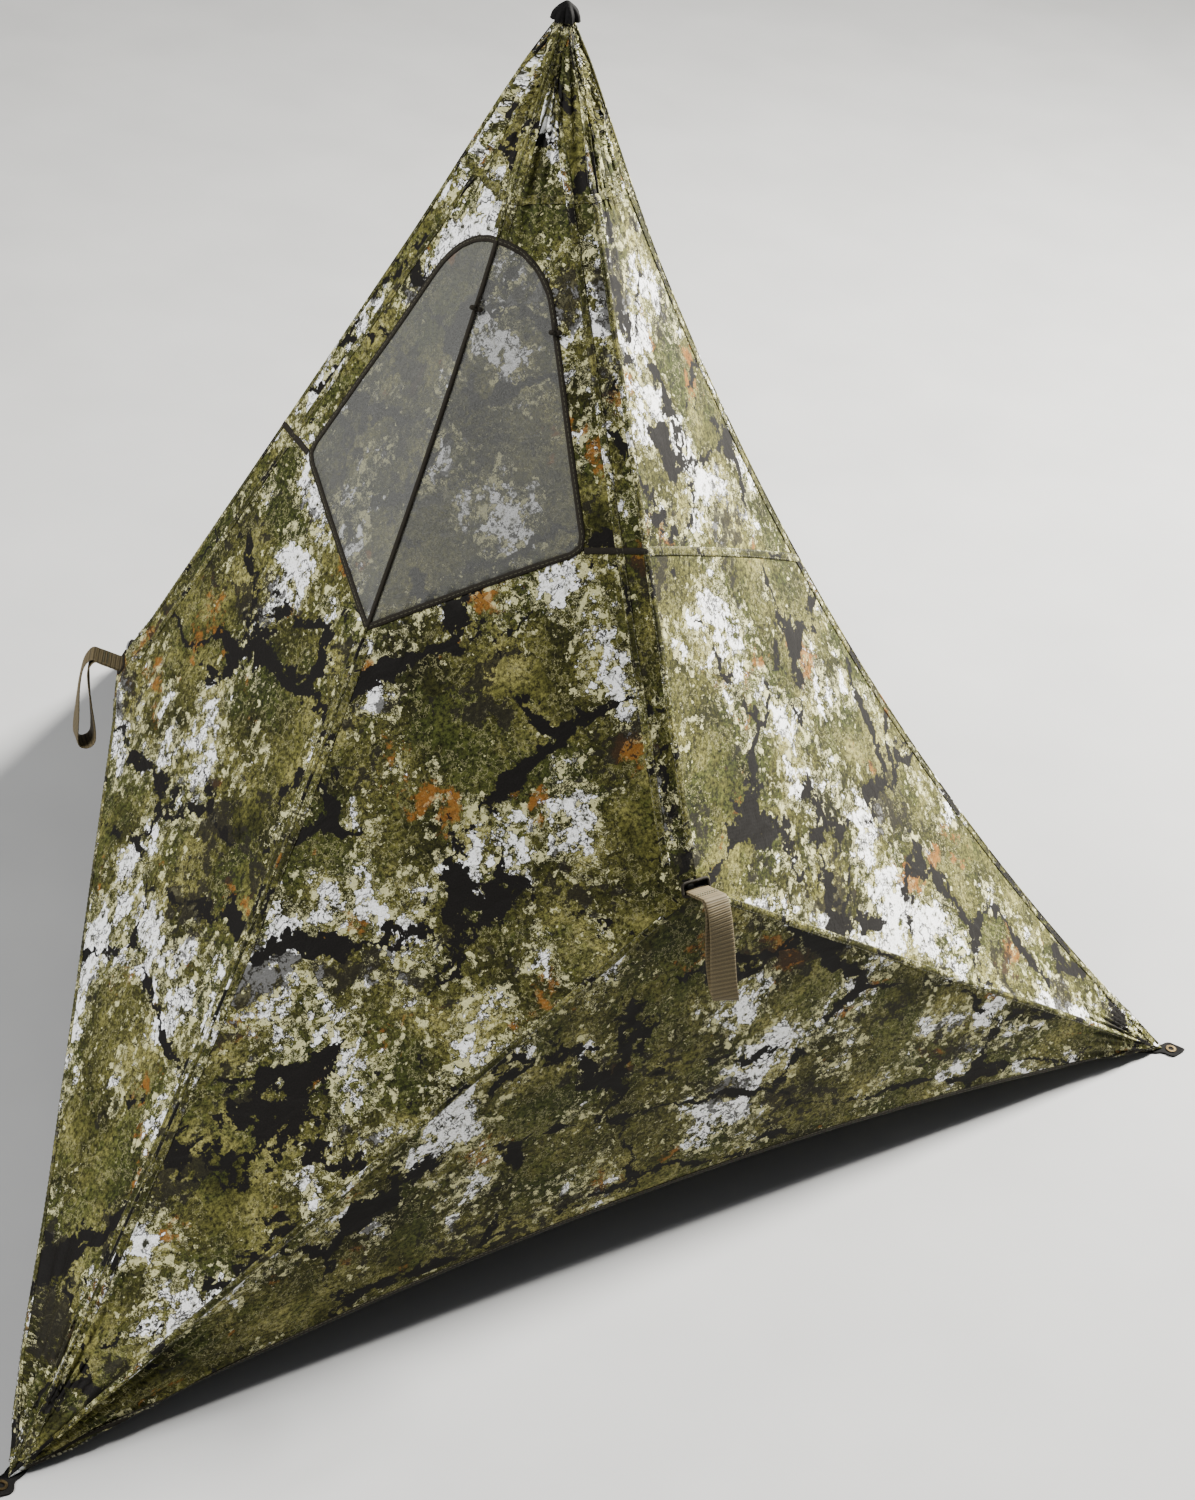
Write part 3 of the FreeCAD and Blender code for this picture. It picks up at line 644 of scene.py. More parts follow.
def camo_colour(make, coordinates):
    """Bark, moss and lichen print: ragged pale patches, black cracks, rust spots on speckled olive."""
    black = (0.012, 0.011, 0.007, 1)
    warp = make.noise(coordinates, 9.0, 3.0, 0.6, "Color")
    shifted = make.node("VectorMath", {0: warp, 1: (0.5, 0.5, 0.5)}, operation="SUBTRACT").outputs[0]
    scaled = make.node("VectorMath", {0: shifted, "Scale": 0.05}, operation="SCALE").outputs[0]
    where = make.node("VectorMath", {0: coordinates, 1: scaled}, operation="ADD").outputs[0]

    def moved(offset, stretch=(1, 1, 1), base=where):
        return make.node("Mapping", {"Vector": base, "Location": offset, "Scale": stretch}).outputs[0]
    fine = make.noise(moved((1, 5, 0), base=coordinates), 62.0, 4.0, 0.66)
    other = make.noise(moved((6, 2, 3), base=coordinates), 48.0, 5.0, 0.70)

    def ragged(large, grain, weight, low, high):
        """Patches of a large noise whose borders break up into specks."""
        shaken = make.times(make.minus(grain, 0.5), weight)
        return make.step(make.plus(large, shaken), low, high)
    ground = make.noise(moved((0, 0, 0)), 8.0, 8.0, 0.62)
    colour = make.ramp(ground, [(0.32, (0.008, 0.008, 0.003)), (0.44, (0.032, 0.032, 0.008)),
                                (0.54, (0.082, 0.078, 0.022)), (0.66, (0.22, 0.20, 0.070))])
    moss = ragged(make.noise(moved((3, 1, 0)), 6.0, 6.0, 0.6), other, 0.5, 0.50, 0.58)
    colour = make.mix(make.times(moss, 0.65), colour, (0.034, 0.042, 0.010, 1))
    grain = make.noise(moved((3, 8, 4), base=coordinates), 150.0, 4.0, 0.72)
    speck = make.ramp(grain, [(0.37, (0.20, 0.20, 0.18)), (0.46, (0.80, 0.80, 0.76)),
                              (0.60, (1.9, 1.9, 1.7))])
    colour = make.mix(1.0, colour, speck, "MULTIPLY")
    density = make.noise(moved((5, 9, 0), (1, 0.75, 1)), 6.0, 8.0, 0.66)
    cream = ragged(density, fine, 0.8, 0.560, 0.568)
    colour = make.mix(make.times(cream, 0.85), colour, (0.60, 0.57, 0.29, 1))
    contour = make.plus(density, make.times(make.minus(fine, 0.5), 0.30))
    # thin lines round the patches: (level, half width, paint)
    lines = ((0.520, 0.0035, (0.50, 0.48, 0.28, 1)), (0.508, 0.0045, (0.007, 0.006, 0.004, 1)),
             (0.470, 0.0040, (0.010, 0.009, 0.006, 1)), (0.435, 0.0035, (0.30, 0.28, 0.14, 1)))
    for level, half, paint in lines:
        off = make.math("ABSOLUTE", make.minus(contour, level))
        line = make.minus(1.0, make.step(off, half * 0.6, half * 1.4))
        colour = make.mix(make.times(line, 0.85), colour, paint)
    rust = ragged(make.noise(moved((7, 2, 0)), 7.0, 5.0, 0.55), other, 0.5, 0.635, 0.68)
    colour = make.mix(make.times(rust, 0.70), colour, (0.27, 0.105, 0.018, 1))
    lichen = ragged(density, other, 0.36, 0.574, 0.580)
    chalk = make.ramp(fine, [(0.36, (0.03, 0.03, 0.02)), (0.41, (0.66, 0.66, 0.60)),
                             (0.48, (0.98, 0.98, 0.97))])
    rim = ragged(density, other, 0.36, 0.562, 0.568)
    colour = make.mix(rim, colour, black)
    colour = make.mix(lichen, colour, chalk)
    vein = make.math("ABSOLUTE", make.minus(make.noise(moved((9, 9, 0)), 17.0, 6.0, 0.68), 0.5))
    vein = make.minus(1.0, make.step(vein, 0.010, 0.020))
    vein = make.times(vein, make.plus(make.times(cream, 0.6), 0.35))
    colour = make.mix(vein, colour, black)
    shade = make.noise(moved((2, 13, 0), (0.8, 1.3, 1)), 5.0, 6.0, 0.6)
    dark = ragged(shade, other, 0.6, 0.600, 0.615)
    colour = make.mix(make.times(dark, 0.88), colour, (0.016, 0.014, 0.010, 1))
    bent = make.noise(moved((4, 4, 0)), 14.0, 5.0, 0.65, "Color")
    bent = make.node("VectorMath", {0: bent, "Scale": 0.11}, operation="SCALE").outputs[0]
    stretched = moved((0, 0, 0), (0.7, 1.2, 1))
    crooked = make.node("VectorMath", {0: stretched, 1: bent}, operation="ADD").outputs[0]
    cell = make.node("TexVoronoi", {"Vector": crooked, "Scale": 4.6}, feature="DISTANCE_TO_EDGE")
    width = make.times(make.noise(moved((8, 8, 0)), 6.0, 5.0, 0.7), 0.42)
    width = make.minus(width, 0.187)
    width = make.plus(width, make.times(make.minus(other, 0.5), 0.08))
    crack = make.step(make.minus(width, cell.outputs["Distance"]), 0.0, 0.006)
    colour = make.mix(crack, colour, (0.009, 0.008, 0.007, 1))
    grit = make.noise(coordinates, 420.0, 3.0, 0.6)
    grit = make.ramp(grit, [(0.35, (0.75, 0.75, 0.75)), (0.65, (1.2, 1.2, 1.2))])
    return make.mix(1.0, colour, grit, "MULTIPLY")


def weave(make, coordinates, per_metre, distance, under=None):
    """Normal of a plain weave, over another normal."""
    place = {"Vector": coordinates, "Scale": per_metre}
    warp, weft = (make.node("TexWave", place, bands_direction=way).outputs["Fac"] for way in "XY")
    return make.bump(make.plus(warp, weft), distance, 0.5, under)


def camo_material():
    make = Maker("camo_cloth")
    uv = make.uv()
    creases = make.noise(make.uv((1, 1.6, 1)), 26.0, 5.0, 0.55, distortion=0.6)
    bump = make.bump(creases, 0.004, 0.55)
    bump = weave(make, uv, 160.0, 0.0002, bump)
    span = {"Value": make.noise(uv, 30.0, 3.0), "To Min": 0.60, "To Max": 0.80}
    rough = make.node("MapRange", span).outputs[0]
    return make.finish(Base_Color=camo_colour(make, uv), Roughness=rough, Normal=bump,
                       Specular_IOR_Level=0.10)


def mesh_material():
    """Printed knit that can be seen through."""
    make = Maker("window_mesh")
    uv = make.uv()
    # pale grey veil: partly the knit's own thread colour, partly painted light standing in for the bright
    # floor seen through the mesh
    colour = make.mix(0.55, camo_colour(make, uv), (0.20, 0.20, 0.185, 1))
    hole = make.node("TexVoronoi", {"Vector": uv, "Scale": 520.0}).outputs["Distance"]
    open_part = make.node("MapRange", {"Value": hole, "From Min": 0.15, "From Max": 0.6,
                                       "To Min": 0.30, "To Max": 0.62}).outputs[0]
    return make.finish(Base_Color=colour, Roughness=0.7, Alpha=open_part,
                       Normal=weave(make, uv, 240.0, 0.0002))


def plain_material(name, dark, light, rough, scale, bump, metallic=0.0, ribs=None, coat=0.0,
                   object_space=True, shine=0.4):
    """Mottled surface: moulding, metal, vinyl, tape or thread."""
    make = Maker(name)
    where = make.local() if object_space else make.uv()
    grain = make.noise(where, scale, 6.0, 0.6)
    colour = make.ramp(grain, [(0.3, dark), (0.7, light)])
    normal = make.bump(grain, bump, 0.6)
    if ribs:
        wave = make.node("TexWave", {"Vector": where, "Scale": ribs}, bands_direction="X").outputs["Fac"]
        normal = make.bump(wave, 0.0004, 0.7, normal)
        # painted shade: the ribs' grooves darker and their crests lighter, following the same wave as the
        # bump
        rib_shade = make.ramp(wave, [(0.0, (0.6, 0.6, 0.6)), (0.6, (1.1, 1.1, 1.1))])
        colour = make.mix(1.0, colour, rib_shade, "MULTIPLY")
    span = {"Value": grain, "To Min": rough - 0.1, "To Max": rough + 0.1}
    return make.finish(Base_Color=colour, Roughness=make.node("MapRange", span).outputs[0], Normal=normal,
                       Metallic=metallic, Coat_Weight=coat, Specular_IOR_Level=shine)


CAMO = camo_material()
MESH = mesh_material()
TAPE = plain_material("dark_binding", (0.007, 0.0055, 0.0035), (0.026, 0.021, 0.013), 0.75, 700, 0.0003,
                      ribs=190, object_space=False, shine=0.2)
THREAD = plain_material("thread", (0.045, 0.045, 0.025), (0.11, 0.105, 0.06), 0.6, 900, 0.0001)
WEBBING_TAN = plain_material("webbing", (0.060, 0.044, 0.019), (0.150, 0.115, 0.055), 0.75, 900, 0.0003,
                             ribs=47, object_space=False)
VINYL = plain_material("vinyl", (0.003, 0.003, 0.003), (0.009, 0.0085, 0.008), 0.75, 420, 0.0003, shine=0.06)
BRASS = plain_material("brass", (0.055, 0.040, 0.020), (0.16, 0.115, 0.055), 0.42, 160, 0.0001, metallic=1.0)
MOULDING = plain_material("moulding", (0.014, 0.014, 0.014), (0.045, 0.045, 0.045), 0.5, 500, 0.0002)
HUB_METAL = plain_material("hub_metal", (0.018, 0.018, 0.018), (0.06, 0.06, 0.058), 0.42, 260, 0.0001)
STEEL = plain_material("steel", (0.36, 0.36, 0.37), (0.66, 0.66, 0.67), 0.32, 220, 0.0001, metallic=1.0)
ROD = plain_material("rod", (0.012, 0.012, 0.013), (0.05, 0.05, 0.052), 0.28, 380, 0.0001, coat=0.3)
ALLOY = plain_material("fittings", (0.42, 0.42, 0.43), (0.70, 0.70, 0.71), 0.36, 240, 0.0001, metallic=1.0)
ZIP_METAL = plain_material("zip_metal", (0.04, 0.035, 0.03), (0.13, 0.12, 0.11), 0.36, 300, 0.0001,
                           metallic=0.8)
NODE_MATERIAL = {"moulding": MOULDING, "hub_metal": HUB_METAL, "steel": STEEL, "rod": ROD, "fittings": ALLOY,
                 "zip_metal": ZIP_METAL, "brass": BRASS, "vinyl": VINYL, "webbing": WEBBING_TAN,
                 "dark_binding": TAPE, "camo_cloth": CAMO, "window_mesh": MESH}


def finish_cad_nodes():
    """Gives each CAD part its own material."""
    for part in frame["record"]["subparts"]:
        obj = bpy.data.objects.get(part["node"])
        if obj is None:
            continue
        obj.data.materials.clear()
        obj.data.materials.append(NODE_MATERIAL[part["material_slot"]])


# ---- canopy --------------------

def window_outline(wall):
    """Open convex outline, from beyond the edge at the sill round to beyond the edge at the top."""
    sill_edge, sill_corner, shoulder, arch, top_edge = (
        wall.spot("apex", "front", u, v) for u, v in (SILL_AT_EDGE, SILL_CORNER, SHOULDER, ARCH, TOP_AT_EDGE))
    beyond = (sill_edge - sill_corner) * 0.2
    curve = []
    for t in np.linspace(0, 1, 9):
        # quadratic through shoulder, arch and the top at the edge
        curve.append(shoulder * (1 - t) * (1 - 2 * t) + arch * 4 * t * (1 - t) + top_edge * t * (2 * t - 1))
    out_of_top = unit(sill_edge - sill_corner) * 0.2
    line = np.array([sill_edge + beyond, sill_corner] + curve + [top_edge + out_of_top])
    closed = np.vstack((line, line[:1]))
    area = sum(p[0] * q[1] - p[1] * q[0] for p, q in zip(closed, closed[1:]))
    return line if area > 0 else line[::-1]


def seam_beside_ridge(wall, side):
    """Straight seam beside the ridge from the hub to the apex."""
    s = SEAM_ASIDE * side
    return np.array(((s, 0.045), (s, wall.flat["apex"][1] - 0.07)))


def front_side(wall):
    """-1 or 1: the side of the hub on which the front corner lies."""
    return 1.0 if wall.flat["front"][0] > 0 else -1.0


def make_side_wall(wall):
    """Cloth of a wall with half of the window in it. Returns the window's border."""
    bm = flat_mesh(wall, (0, 1, 2))
    outline = window_outline(wall)
    cut_outline(bm, outline)
    side = front_side(wall)
    seam_at = SEAM_ASIDE * side
    cut_line(bm, (seam_at, 0), (1, 0), lambda c: abs(c.x - seam_at) < 0.03 and c.y > 0.03)
    in_window = inside_of(outline)

    def panel_of(centre):
        facet = wall.facet_at(centre)
        by_ridge = facet == 0 and centre[0] * side < SEAM_ASIDE and centre[1] >= 0.02
        return (1 if by_ridge else facet) + (3 if wall.name == "left" else 0)
    points, faces = flat_arrays(bm, lambda c: not in_window(c))
    panels = [panel_of(points[f].mean(axis=0)) for f in faces]
    cloth, weights, area = thick_cloth("canopy_" + wall.name, wall, points, faces, panels, CAMO)
    follow_hub(cloth)
    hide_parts(*(wall.name + "_wall_" + part + "_cloth" for part in ("front", "rear", "lower")))
    points, faces = flat_arrays(bm, in_window)
    mesh, weights, area = thick_cloth("window_mesh_" + wall.name, wall, points, faces, [6] * len(faces),
                                      MESH, thickness=0.0005, lift=-0.0004)
    follow_hub(mesh)
    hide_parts(wall.name + "_window_mesh")
    bm.free()
    border = np.vstack((crossing(wall, outline, 0), outline[wall.reach(outline) < 0.998],
                        crossing(wall, outline, -1)))
    binding = Pile()
    ribbon(binding, wall, round_corners(border), 0.009, 0.0016, step=0.006)
    obj = sew_on(binding, "window_binding_" + wall.name, TAPE, "dark_binding")
    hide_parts(wall.name + "_window_binding")
    return border


def crossing(wall, outline, end):
    """Where the outline's first or last side meets the wall's edge."""
    p, q = (outline[0], outline[1]) if end == 0 else (outline[-1], outline[-2])
    low, high = 0.0, 1.0
    for _ in range(30):
        mid = (low + high) / 2
        if wall.reach((p + (q - p) * mid)[None])[0] > 1.0:
            low = mid
        else:
            high = mid
    return (p + (q - p) * high)[None]


def round_corners(path, radius=0.02):
    """Replaces each sharp corner of a path by a short curve."""
    out = [path[0]]
    for before, here, after in zip(path, path[1:], path[2:]):
        a = here + unit(before - here) * min(radius, np.linalg.norm(before - here) / 2.2)
        b = here + unit(after - here) * min(radius, np.linalg.norm(after - here) / 2.2)
        out += [a, (a + b + 2 * here) / 4, b]
    out.append(path[-1])
    return np.array(out)


def make_rear_wall(wall):
    """The rear wall has its door in the facet between the apex and the left corner."""
    bm = flat_mesh(wall, (0, 1, 2))
    middle = (wall.flat["apex"] + wall.flat["left"]) / 2
    limits = [(unit(middle), np.linalg.norm(middle) - EDGE_STRIP),
              (-wall.above_left_ridge(), -RIDGE_STRIP)]
    limits += [(unit(wall.flat[corner]), BASE_R - CORNER_STRIP) for corner in ("apex", "left")]

    def in_facet(centre):
        return wall.facet_at(centre) == 1

    def in_door(centre):
        return all(centre[0] * n[0] + centre[1] * n[1] < far for n, far in limits) and in_facet(centre)
    for normal, far in limits:
        cut_line(bm, normal * far, normal,
                 lambda c, n=normal, far=far: abs(c[0] * n[0] + c[1] * n[1] - far) < 0.04 and in_facet(c))
    fold = (door_side(wall) * JAMB_WIDE) @ wall.across
    for offset in (-0.006, 0.0, 0.006):
        cut_line(bm, (fold + offset, 0), (1, 0), lambda c: abs(c.x - fold) < 0.03 and in_facet(c))
    points, faces = flat_arrays(bm, lambda c: not in_door(c))
    panels = [(0, 4, 2)[wall.facet_at(points[f].mean(axis=0))] for f in faces]
    cloth, weights, area = thick_cloth("canopy_rear", wall, points, faces, panels, CAMO)
    follow_hub(cloth)
    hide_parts("rear_wall_right_cloth", "rear_wall_lower_cloth")
    points, faces = flat_arrays(bm, in_door)
    bm.free()
    door, _, area = thick_cloth("door", wall, points, faces, [4] * len(faces), CAMO)
    fold_with_door(door)
    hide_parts("door_jamb_cloth", "door_cloth", "door_seam_piping")


def door_side(wall):
    """Direction across the door, square to the apex ridge."""
    up = unit(CORNER["apex"] - wall.hub)
    side = CORNER["left"] - wall.hub
    return unit(side - up * (side @ up))


def fold_with_door(obj):
    """Bakes the piece's transform into its mesh."""
    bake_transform(obj)


def ridge_path(wall, corner, start=0.06, stop=0.03):
    """Path along the ridge to a corner, from `start` past the hub to `stop` short of the corner."""
    way = unit(wall.flat[corner])
    far = np.linalg.norm(wall.flat[corner])
    return np.array([way * start, way * (far - stop)])


def edge_path(wall, a, b, inset, stop=0.012):
    """Path along an edge of the wall, `inset` inside it."""
    u = np.linspace(stop, 1 - stop, 60)[:, None]
    line = wall.flat[a] * (1 - u) + wall.flat[b] * u
    middle = (wall.flat[a] + wall.flat[b]) / 2
    return line - unit(middle) * inset


def window_gap(path):
    """The parts of the front edge's path above and below the window."""
    far = np.linalg.norm(path - path[0], axis=1) / np.linalg.norm(path[-1] - path[0])
    return [path[far < TOP_AT_EDGE[0] - 0.004], path[far > SILL_AT_EDGE[0] + 0.004]]


def make_seams(wall, window_border=None):
    """Taped and stitched seams and hem of a wall; the door's own are in make_door_trim."""
    rear = wall.name == "rear"
    tape, thread, dark = Pile(), Pile(), Pile()
    for corner in ("right",) if rear else Wall.NAMES[wall.name]:
        seam(tape, thread, wall, ridge_path(wall, corner), 0.012, 0.0009, 0.0042)
    for a, b in wall.facets:
        if rear and (a, b) == ("apex", "left"):
            continue
        hem = "apex" not in (a, b)
        pile, inset, width, aside = (dark, 0.005, 0.009, 0.003) if hem else (tape, 0.008, 0.014, 0.0052)
        path = edge_path(wall, a, b, inset)
        for part in window_gap(path) if b == "front" else [path]:
            seam(pile, thread, wall, part, width, 0.0010, aside, step=0.014)
    # the apex panel's cross seam, a quarter of a metre below the tip
    for a, b in wall.facets[:1 if rear else 2]:
        path = [wall.flat["apex"] * APEX_SEAM, wall.spot(a, b, 0.085, 0.92), wall.spot(a, b, 0.125, 0.998)]
        seam(tape, thread, wall, round_corners(np.array(path), 0.05), 0.012, 0.0011, 0.0042)
    if not rear:
        path = seam_beside_ridge(wall, front_side(wall))
        seam(tape, thread, wall, path, 0.012, 0.0012, 0.0042, above=0.0002)
        middle = wall.flat["apex"] * CROSS_SEAM
        path = np.array([middle, wall.spot(*wall.facets[1], CROSS_SEAM_AT_EDGE, 0.998)])
        seam(tape, thread, wall, path, 0.013, 0.0012, 0.0045)
        stitch_row(thread, wall, round_corners(window_border), 0.0, 0.0018, pitch=0.007)
        ribbon(dark, wall, np.array([wall.spot("apex", "front", *SILL_CORNER), middle]), 0.009, 0.0014)
    for pile, name, material, slot in ((tape, "seams", CAMO, "camo_cloth"),
                                       (thread, "stitches", THREAD, "dark_binding"),
                                       (dark, "hem", TAPE, "dark_binding")):
        if pile.count:
            sew_on(pile, f"{name}_{wall.name}", material, slot)


def rim_of_slit(wall):
    """Rolled binding round the slit that the strap comes out of."""
    angles = np.linspace(0, 2 * math.pi, 97)[:-1]
    way = np.column_stack((np.cos(angles), np.sin(angles)))
    line = way * (slit_radius(way) + 0.0012)[:, None]
    pile = Pile()
    points = wall.place(line, 0.0006)
    points = np.vstack((points, points[:2]))
    tube(pile, points, 0.0022, 8, wall.carried(np.vstack((line, line[:2]))))
    sew_on(pile, "strap_slit_binding_" + wall.name, TAPE, "dark_binding")


def make_slanting_edges():
    """Rolled seam where two walls meet, and the window's centre seam."""
    pile = Pile()
    for wall_name, a, b in (("right", "apex", "front"), ("right", "apex", "right"), ("left", "apex", "left")):
        wall = WALL[wall_name]
        u = graded(240, 0.6)[:, None]
        line = wall.flat[a] * (1 - u) + wall.flat[b] * u
        points = wall.surface(line)
        from_corners = [np.linalg.norm(points - CORNER[corner], axis=1) for corner in (a, b)]
        tube(pile, points[np.min(from_corners, axis=0) > 0.012], 0.0024)
    obj, _ = pile.build("edge_seams", CAMO, "camo_cloth")
    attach(obj, "shell")
    wall = WALL["right"]
    u = np.linspace(TOP_AT_EDGE[0], SILL_AT_EDGE[0], 90)[:, None]
    points = wall.surface(wall.flat["apex"] * (1 - u) + wall.flat["front"] * u)
    pile = Pile()
    tube(pile, points, 0.0034)
    obj, _ = pile.build("window_centre_seam", TAPE, "dark_binding")
    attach(obj, "shell")


# ---- straps --------------------

def turned(vectors, angle):
    """Vectors turned about the vertical, each by its own angle."""
    c, s = np.cos(angle), np.sin(angle)
    out = vectors.copy()
    out[:, 0] = vectors[:, 0] * c - vectors[:, 1] * s
    out[:, 1] = vectors[:, 0] * s + vectors[:, 1] * c
    return out


def make_strap(wall, twist, aside, forward_lean=0.0):
    """One length of ribbed webbing: out of the hub, over, down round the loop and back."""
    pin = wall.centre + wall.out * (PIN_LEVEL + STRAP_PIN_LEVEL)
    end = wall.centre + wall.out * (PIN_LEVEL + STRAP_PIN_LEVEL + STUB_LENGTH)
    pivot = end + wall.out * LOOP_DROP
    half = WEBBING_THICK / 2 + 0.0002
    down = np.array((0.0, 0.0, -1.0))
    forward = unit(np.cross(wall.across, -down))
    forward *= np.sign(forward @ wall.out)
    up_side = unit(np.cross(wall.across, wall.out))
    up_side *= np.sign(up_side[2])
    over = [(pin, 0.004, 1), (pin, 0.020, 1), (end, -0.006, 1), (end, 0.005, 0.4)]
    under = [(end, -0.001, -1), (end, -0.010, -1), (pin, 0.020, -1), (pin, 0.004, -1)]
    control = [place + wall.out * x + up_side * (half * y) for place, x, y in over]
    for x, z in LOOP_SHAPE:
        lean = forward_lean * (z / LOOP_HANG) ** 1.5
        control.append(pivot + forward * (x + 0.009 * smooth(z, 0.0, 0.035) + lean) + down * z)
    control += [place + wall.out * x + up_side * (half * y) for place, x, y in under]
    line = smooth_line(np.array(control), 0.00065)
    far = distances(line)
    # the hanging part turns about the vertical through the loop's middle
    drop = np.clip((pivot - line)[:, 2] / LOOP_HANG, 0, 1)
    turn = twist * smooth(drop, 0.0, 0.95)
    middle = pivot + down * 0.07
    line = middle + turned(line - middle, turn) + wall.across * (aside * drop ** 1.5)[:, None]
    along = directions(line)
    width = turned(np.tile(wall.across, (len(line), 1)), turn)
    width -= along * (width * along).sum(axis=1)[:, None]
    width /= np.linalg.norm(width, axis=1)[:, None]
    normal = np.cross(width, along)
    thick = WEBBING_THICK / 2 - RIB + RIB * np.sin(2 * math.pi * far / RIB_PITCH)
    profile = [(x, 0.55 if abs(x) == 0.5 else 1.0) for x in (-0.5, -0.47, -0.25, 0.0, 0.25, 0.47, 0.5)]
    around = profile + [(x, -y) for x, y in profile[::-1]]
    rings = [line + width * (x * WEBBING) + normal * (thick * y)[:, None] for x, y in around]
    points = np.stack(rings, axis=1).reshape(-1, 3)
    uvs = np.array([(d, x * WEBBING) for d in far for x, _ in around])
    obj = new_object("pull_strap_" + wall.name, points, tube_faces(len(line), len(around)), uvs)
    obj.data.materials.append(WEBBING_TAN)
    stub, loop = wall.name + "_strap_stub", wall.name + "_strap"
    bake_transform(obj)
    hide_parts(wall.name + "_strap_stub", wall.name + "_strap_loop")
    stitches = Pile()
    for back in (0.012, 0.018):
        for k in range(-4, 5):
            here = end - wall.out * back + up_side * (half + WEBBING_THICK / 2) + wall.across * (0.004 * k)
            tube(stitches, [here + wall.across * x for x in (-0.0014, 0.0, 0.0014)], 0.0007, 6)
    obj, _ = stitches.build("strap_stitches_" + wall.name, THREAD, "dark_binding")
    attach(obj, stub)


def smooth_line(control, step):
    """Evenly spaced points on a smooth curve through the control points."""
    p = np.vstack((2 * control[0] - control[1], control, 2 * control[-1] - control[-2]))
    out = []
    for a, b, c, d in zip(p, p[1:], p[2:], p[3:]):
        for t in np.linspace(0, 1, 24, endpoint=False):
            out.append(0.5 * (2 * b + (c - a) * t + (2 * a - 5 * b + 4 * c - d) * t * t
                              + (3 * b - a - 3 * c + d) * t ** 3))
    out.append(control[-1])
    line, _ = resample(np.array(out), step)
    return line


# ---- corners --------------------

def make_tab(corner):
    """Flat pointed vinyl tab, two layers sewn round the border, narrow where it leaves the cloth."""
    middle = CORNER[corner] * (1, 1, 0)
    way = unit(middle - np.array((0, CENTRE_Y, 0)))
    side = np.array((-way[1], way[0], 0))
    # half of the outline: (outward from the cloth's corner, half width)
    half = [(-0.045, 0.012), (-0.012, 0.012), (-0.004, 0.0105), (0.002, 0.012), (0.008, 0.0165),
            (0.013, 0.0185), (0.019, 0.0180), (0.030, 0.0095), (0.0365, 0.0040), (0.0392, 0.0010)]
    outline = half + [(x, -y) for x, y in half[::-1]]
    line, _ = resample(np.vstack((outline, outline[:1])), 0.0018)
    line = line[:-1]
    # rings from the border inwards: (share of the outline, height)
    rings = [(1.0, 0.0004), (1.0, 0.0020), (0.94, 0.0026), (0.86, 0.0026), (0.80, 0.0021),
             (0.45, 0.0023), (0.0, 0.0024)]
    anchor = np.array((0.008, 0.0))
    points = []
    for share, height in rings:
        for x, y in anchor + (line - anchor) * share:
            lift = height + 0.0016 * smooth(x, 0.012, 0.040) ** 2
            points.append(middle + way * x + side * y + np.array((0, 0, lift)))
    faces = lattice_faces(len(rings), len(line), closed_columns=True)
    faces.append(list(range(len(line)))[::-1])
    obj = new_object(corner + "_stake_tab", points, faces)
    obj.data.materials.append(VINYL)
    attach(obj, "shell")
    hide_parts(corner + "_corner_tab")


def barrel(pile, middle, along, length, radius, weight):
    """Turned toggle with a groove for its cord."""
    shape = [(-0.5, 0.35), (-0.46, 0.8), (-0.36, 1.0), (-0.12, 1.0), (-0.06, 0.62), (0.06, 0.62), (0.12, 1.0),
             (0.36, 1.0), (0.46, 0.8), (0.5, 0.35)]
    points = np.array([middle + along * (x * length) for x, _ in shape])
    tube(pile, points, [radius * r for _, r in shape], 14, np.full(len(shape), weight))


def make_toggles():
    """Two small toggles beside the window, one at the front edge and one at the border."""
    wall = WALL["right"]
    corner, shoulder = (wall.spot("apex", "front", *spot) for spot in (SILL_CORNER, SHOULDER))
    spots = (("edge", wall.spot("apex", "front", 0.196, 0.997)),
             ("border", shoulder + (corner - shoulder) * 0.13))
    for name, at in spots:
        here, above = wall.place(np.array([at, at]), [0.0075, 0.0030])
        up = unit(CORNER["apex"] - here)
        across = unit(np.cross(up, wall.out))
        weight = float(wall.carried(at[None])[0])
        pile = Pile()
        barrel(pile, here, across, 0.020, 0.0036, weight)
        turns = np.linspace(0, 2 * math.pi, 20)
        loop = [here + up * (0.010 + 0.010 * math.sin(t)) * (0.9 if t else 1) + across * 0.0022 * math.cos(t)
                + (above - here) * 0.5 * (1 + math.sin(t)) / 2 for t in turns]
        tube(pile, loop, 0.0010, 6, np.full(len(loop), weight))
        sew_on(pile, "window_toggle_" + name, TAPE, "dark_binding")


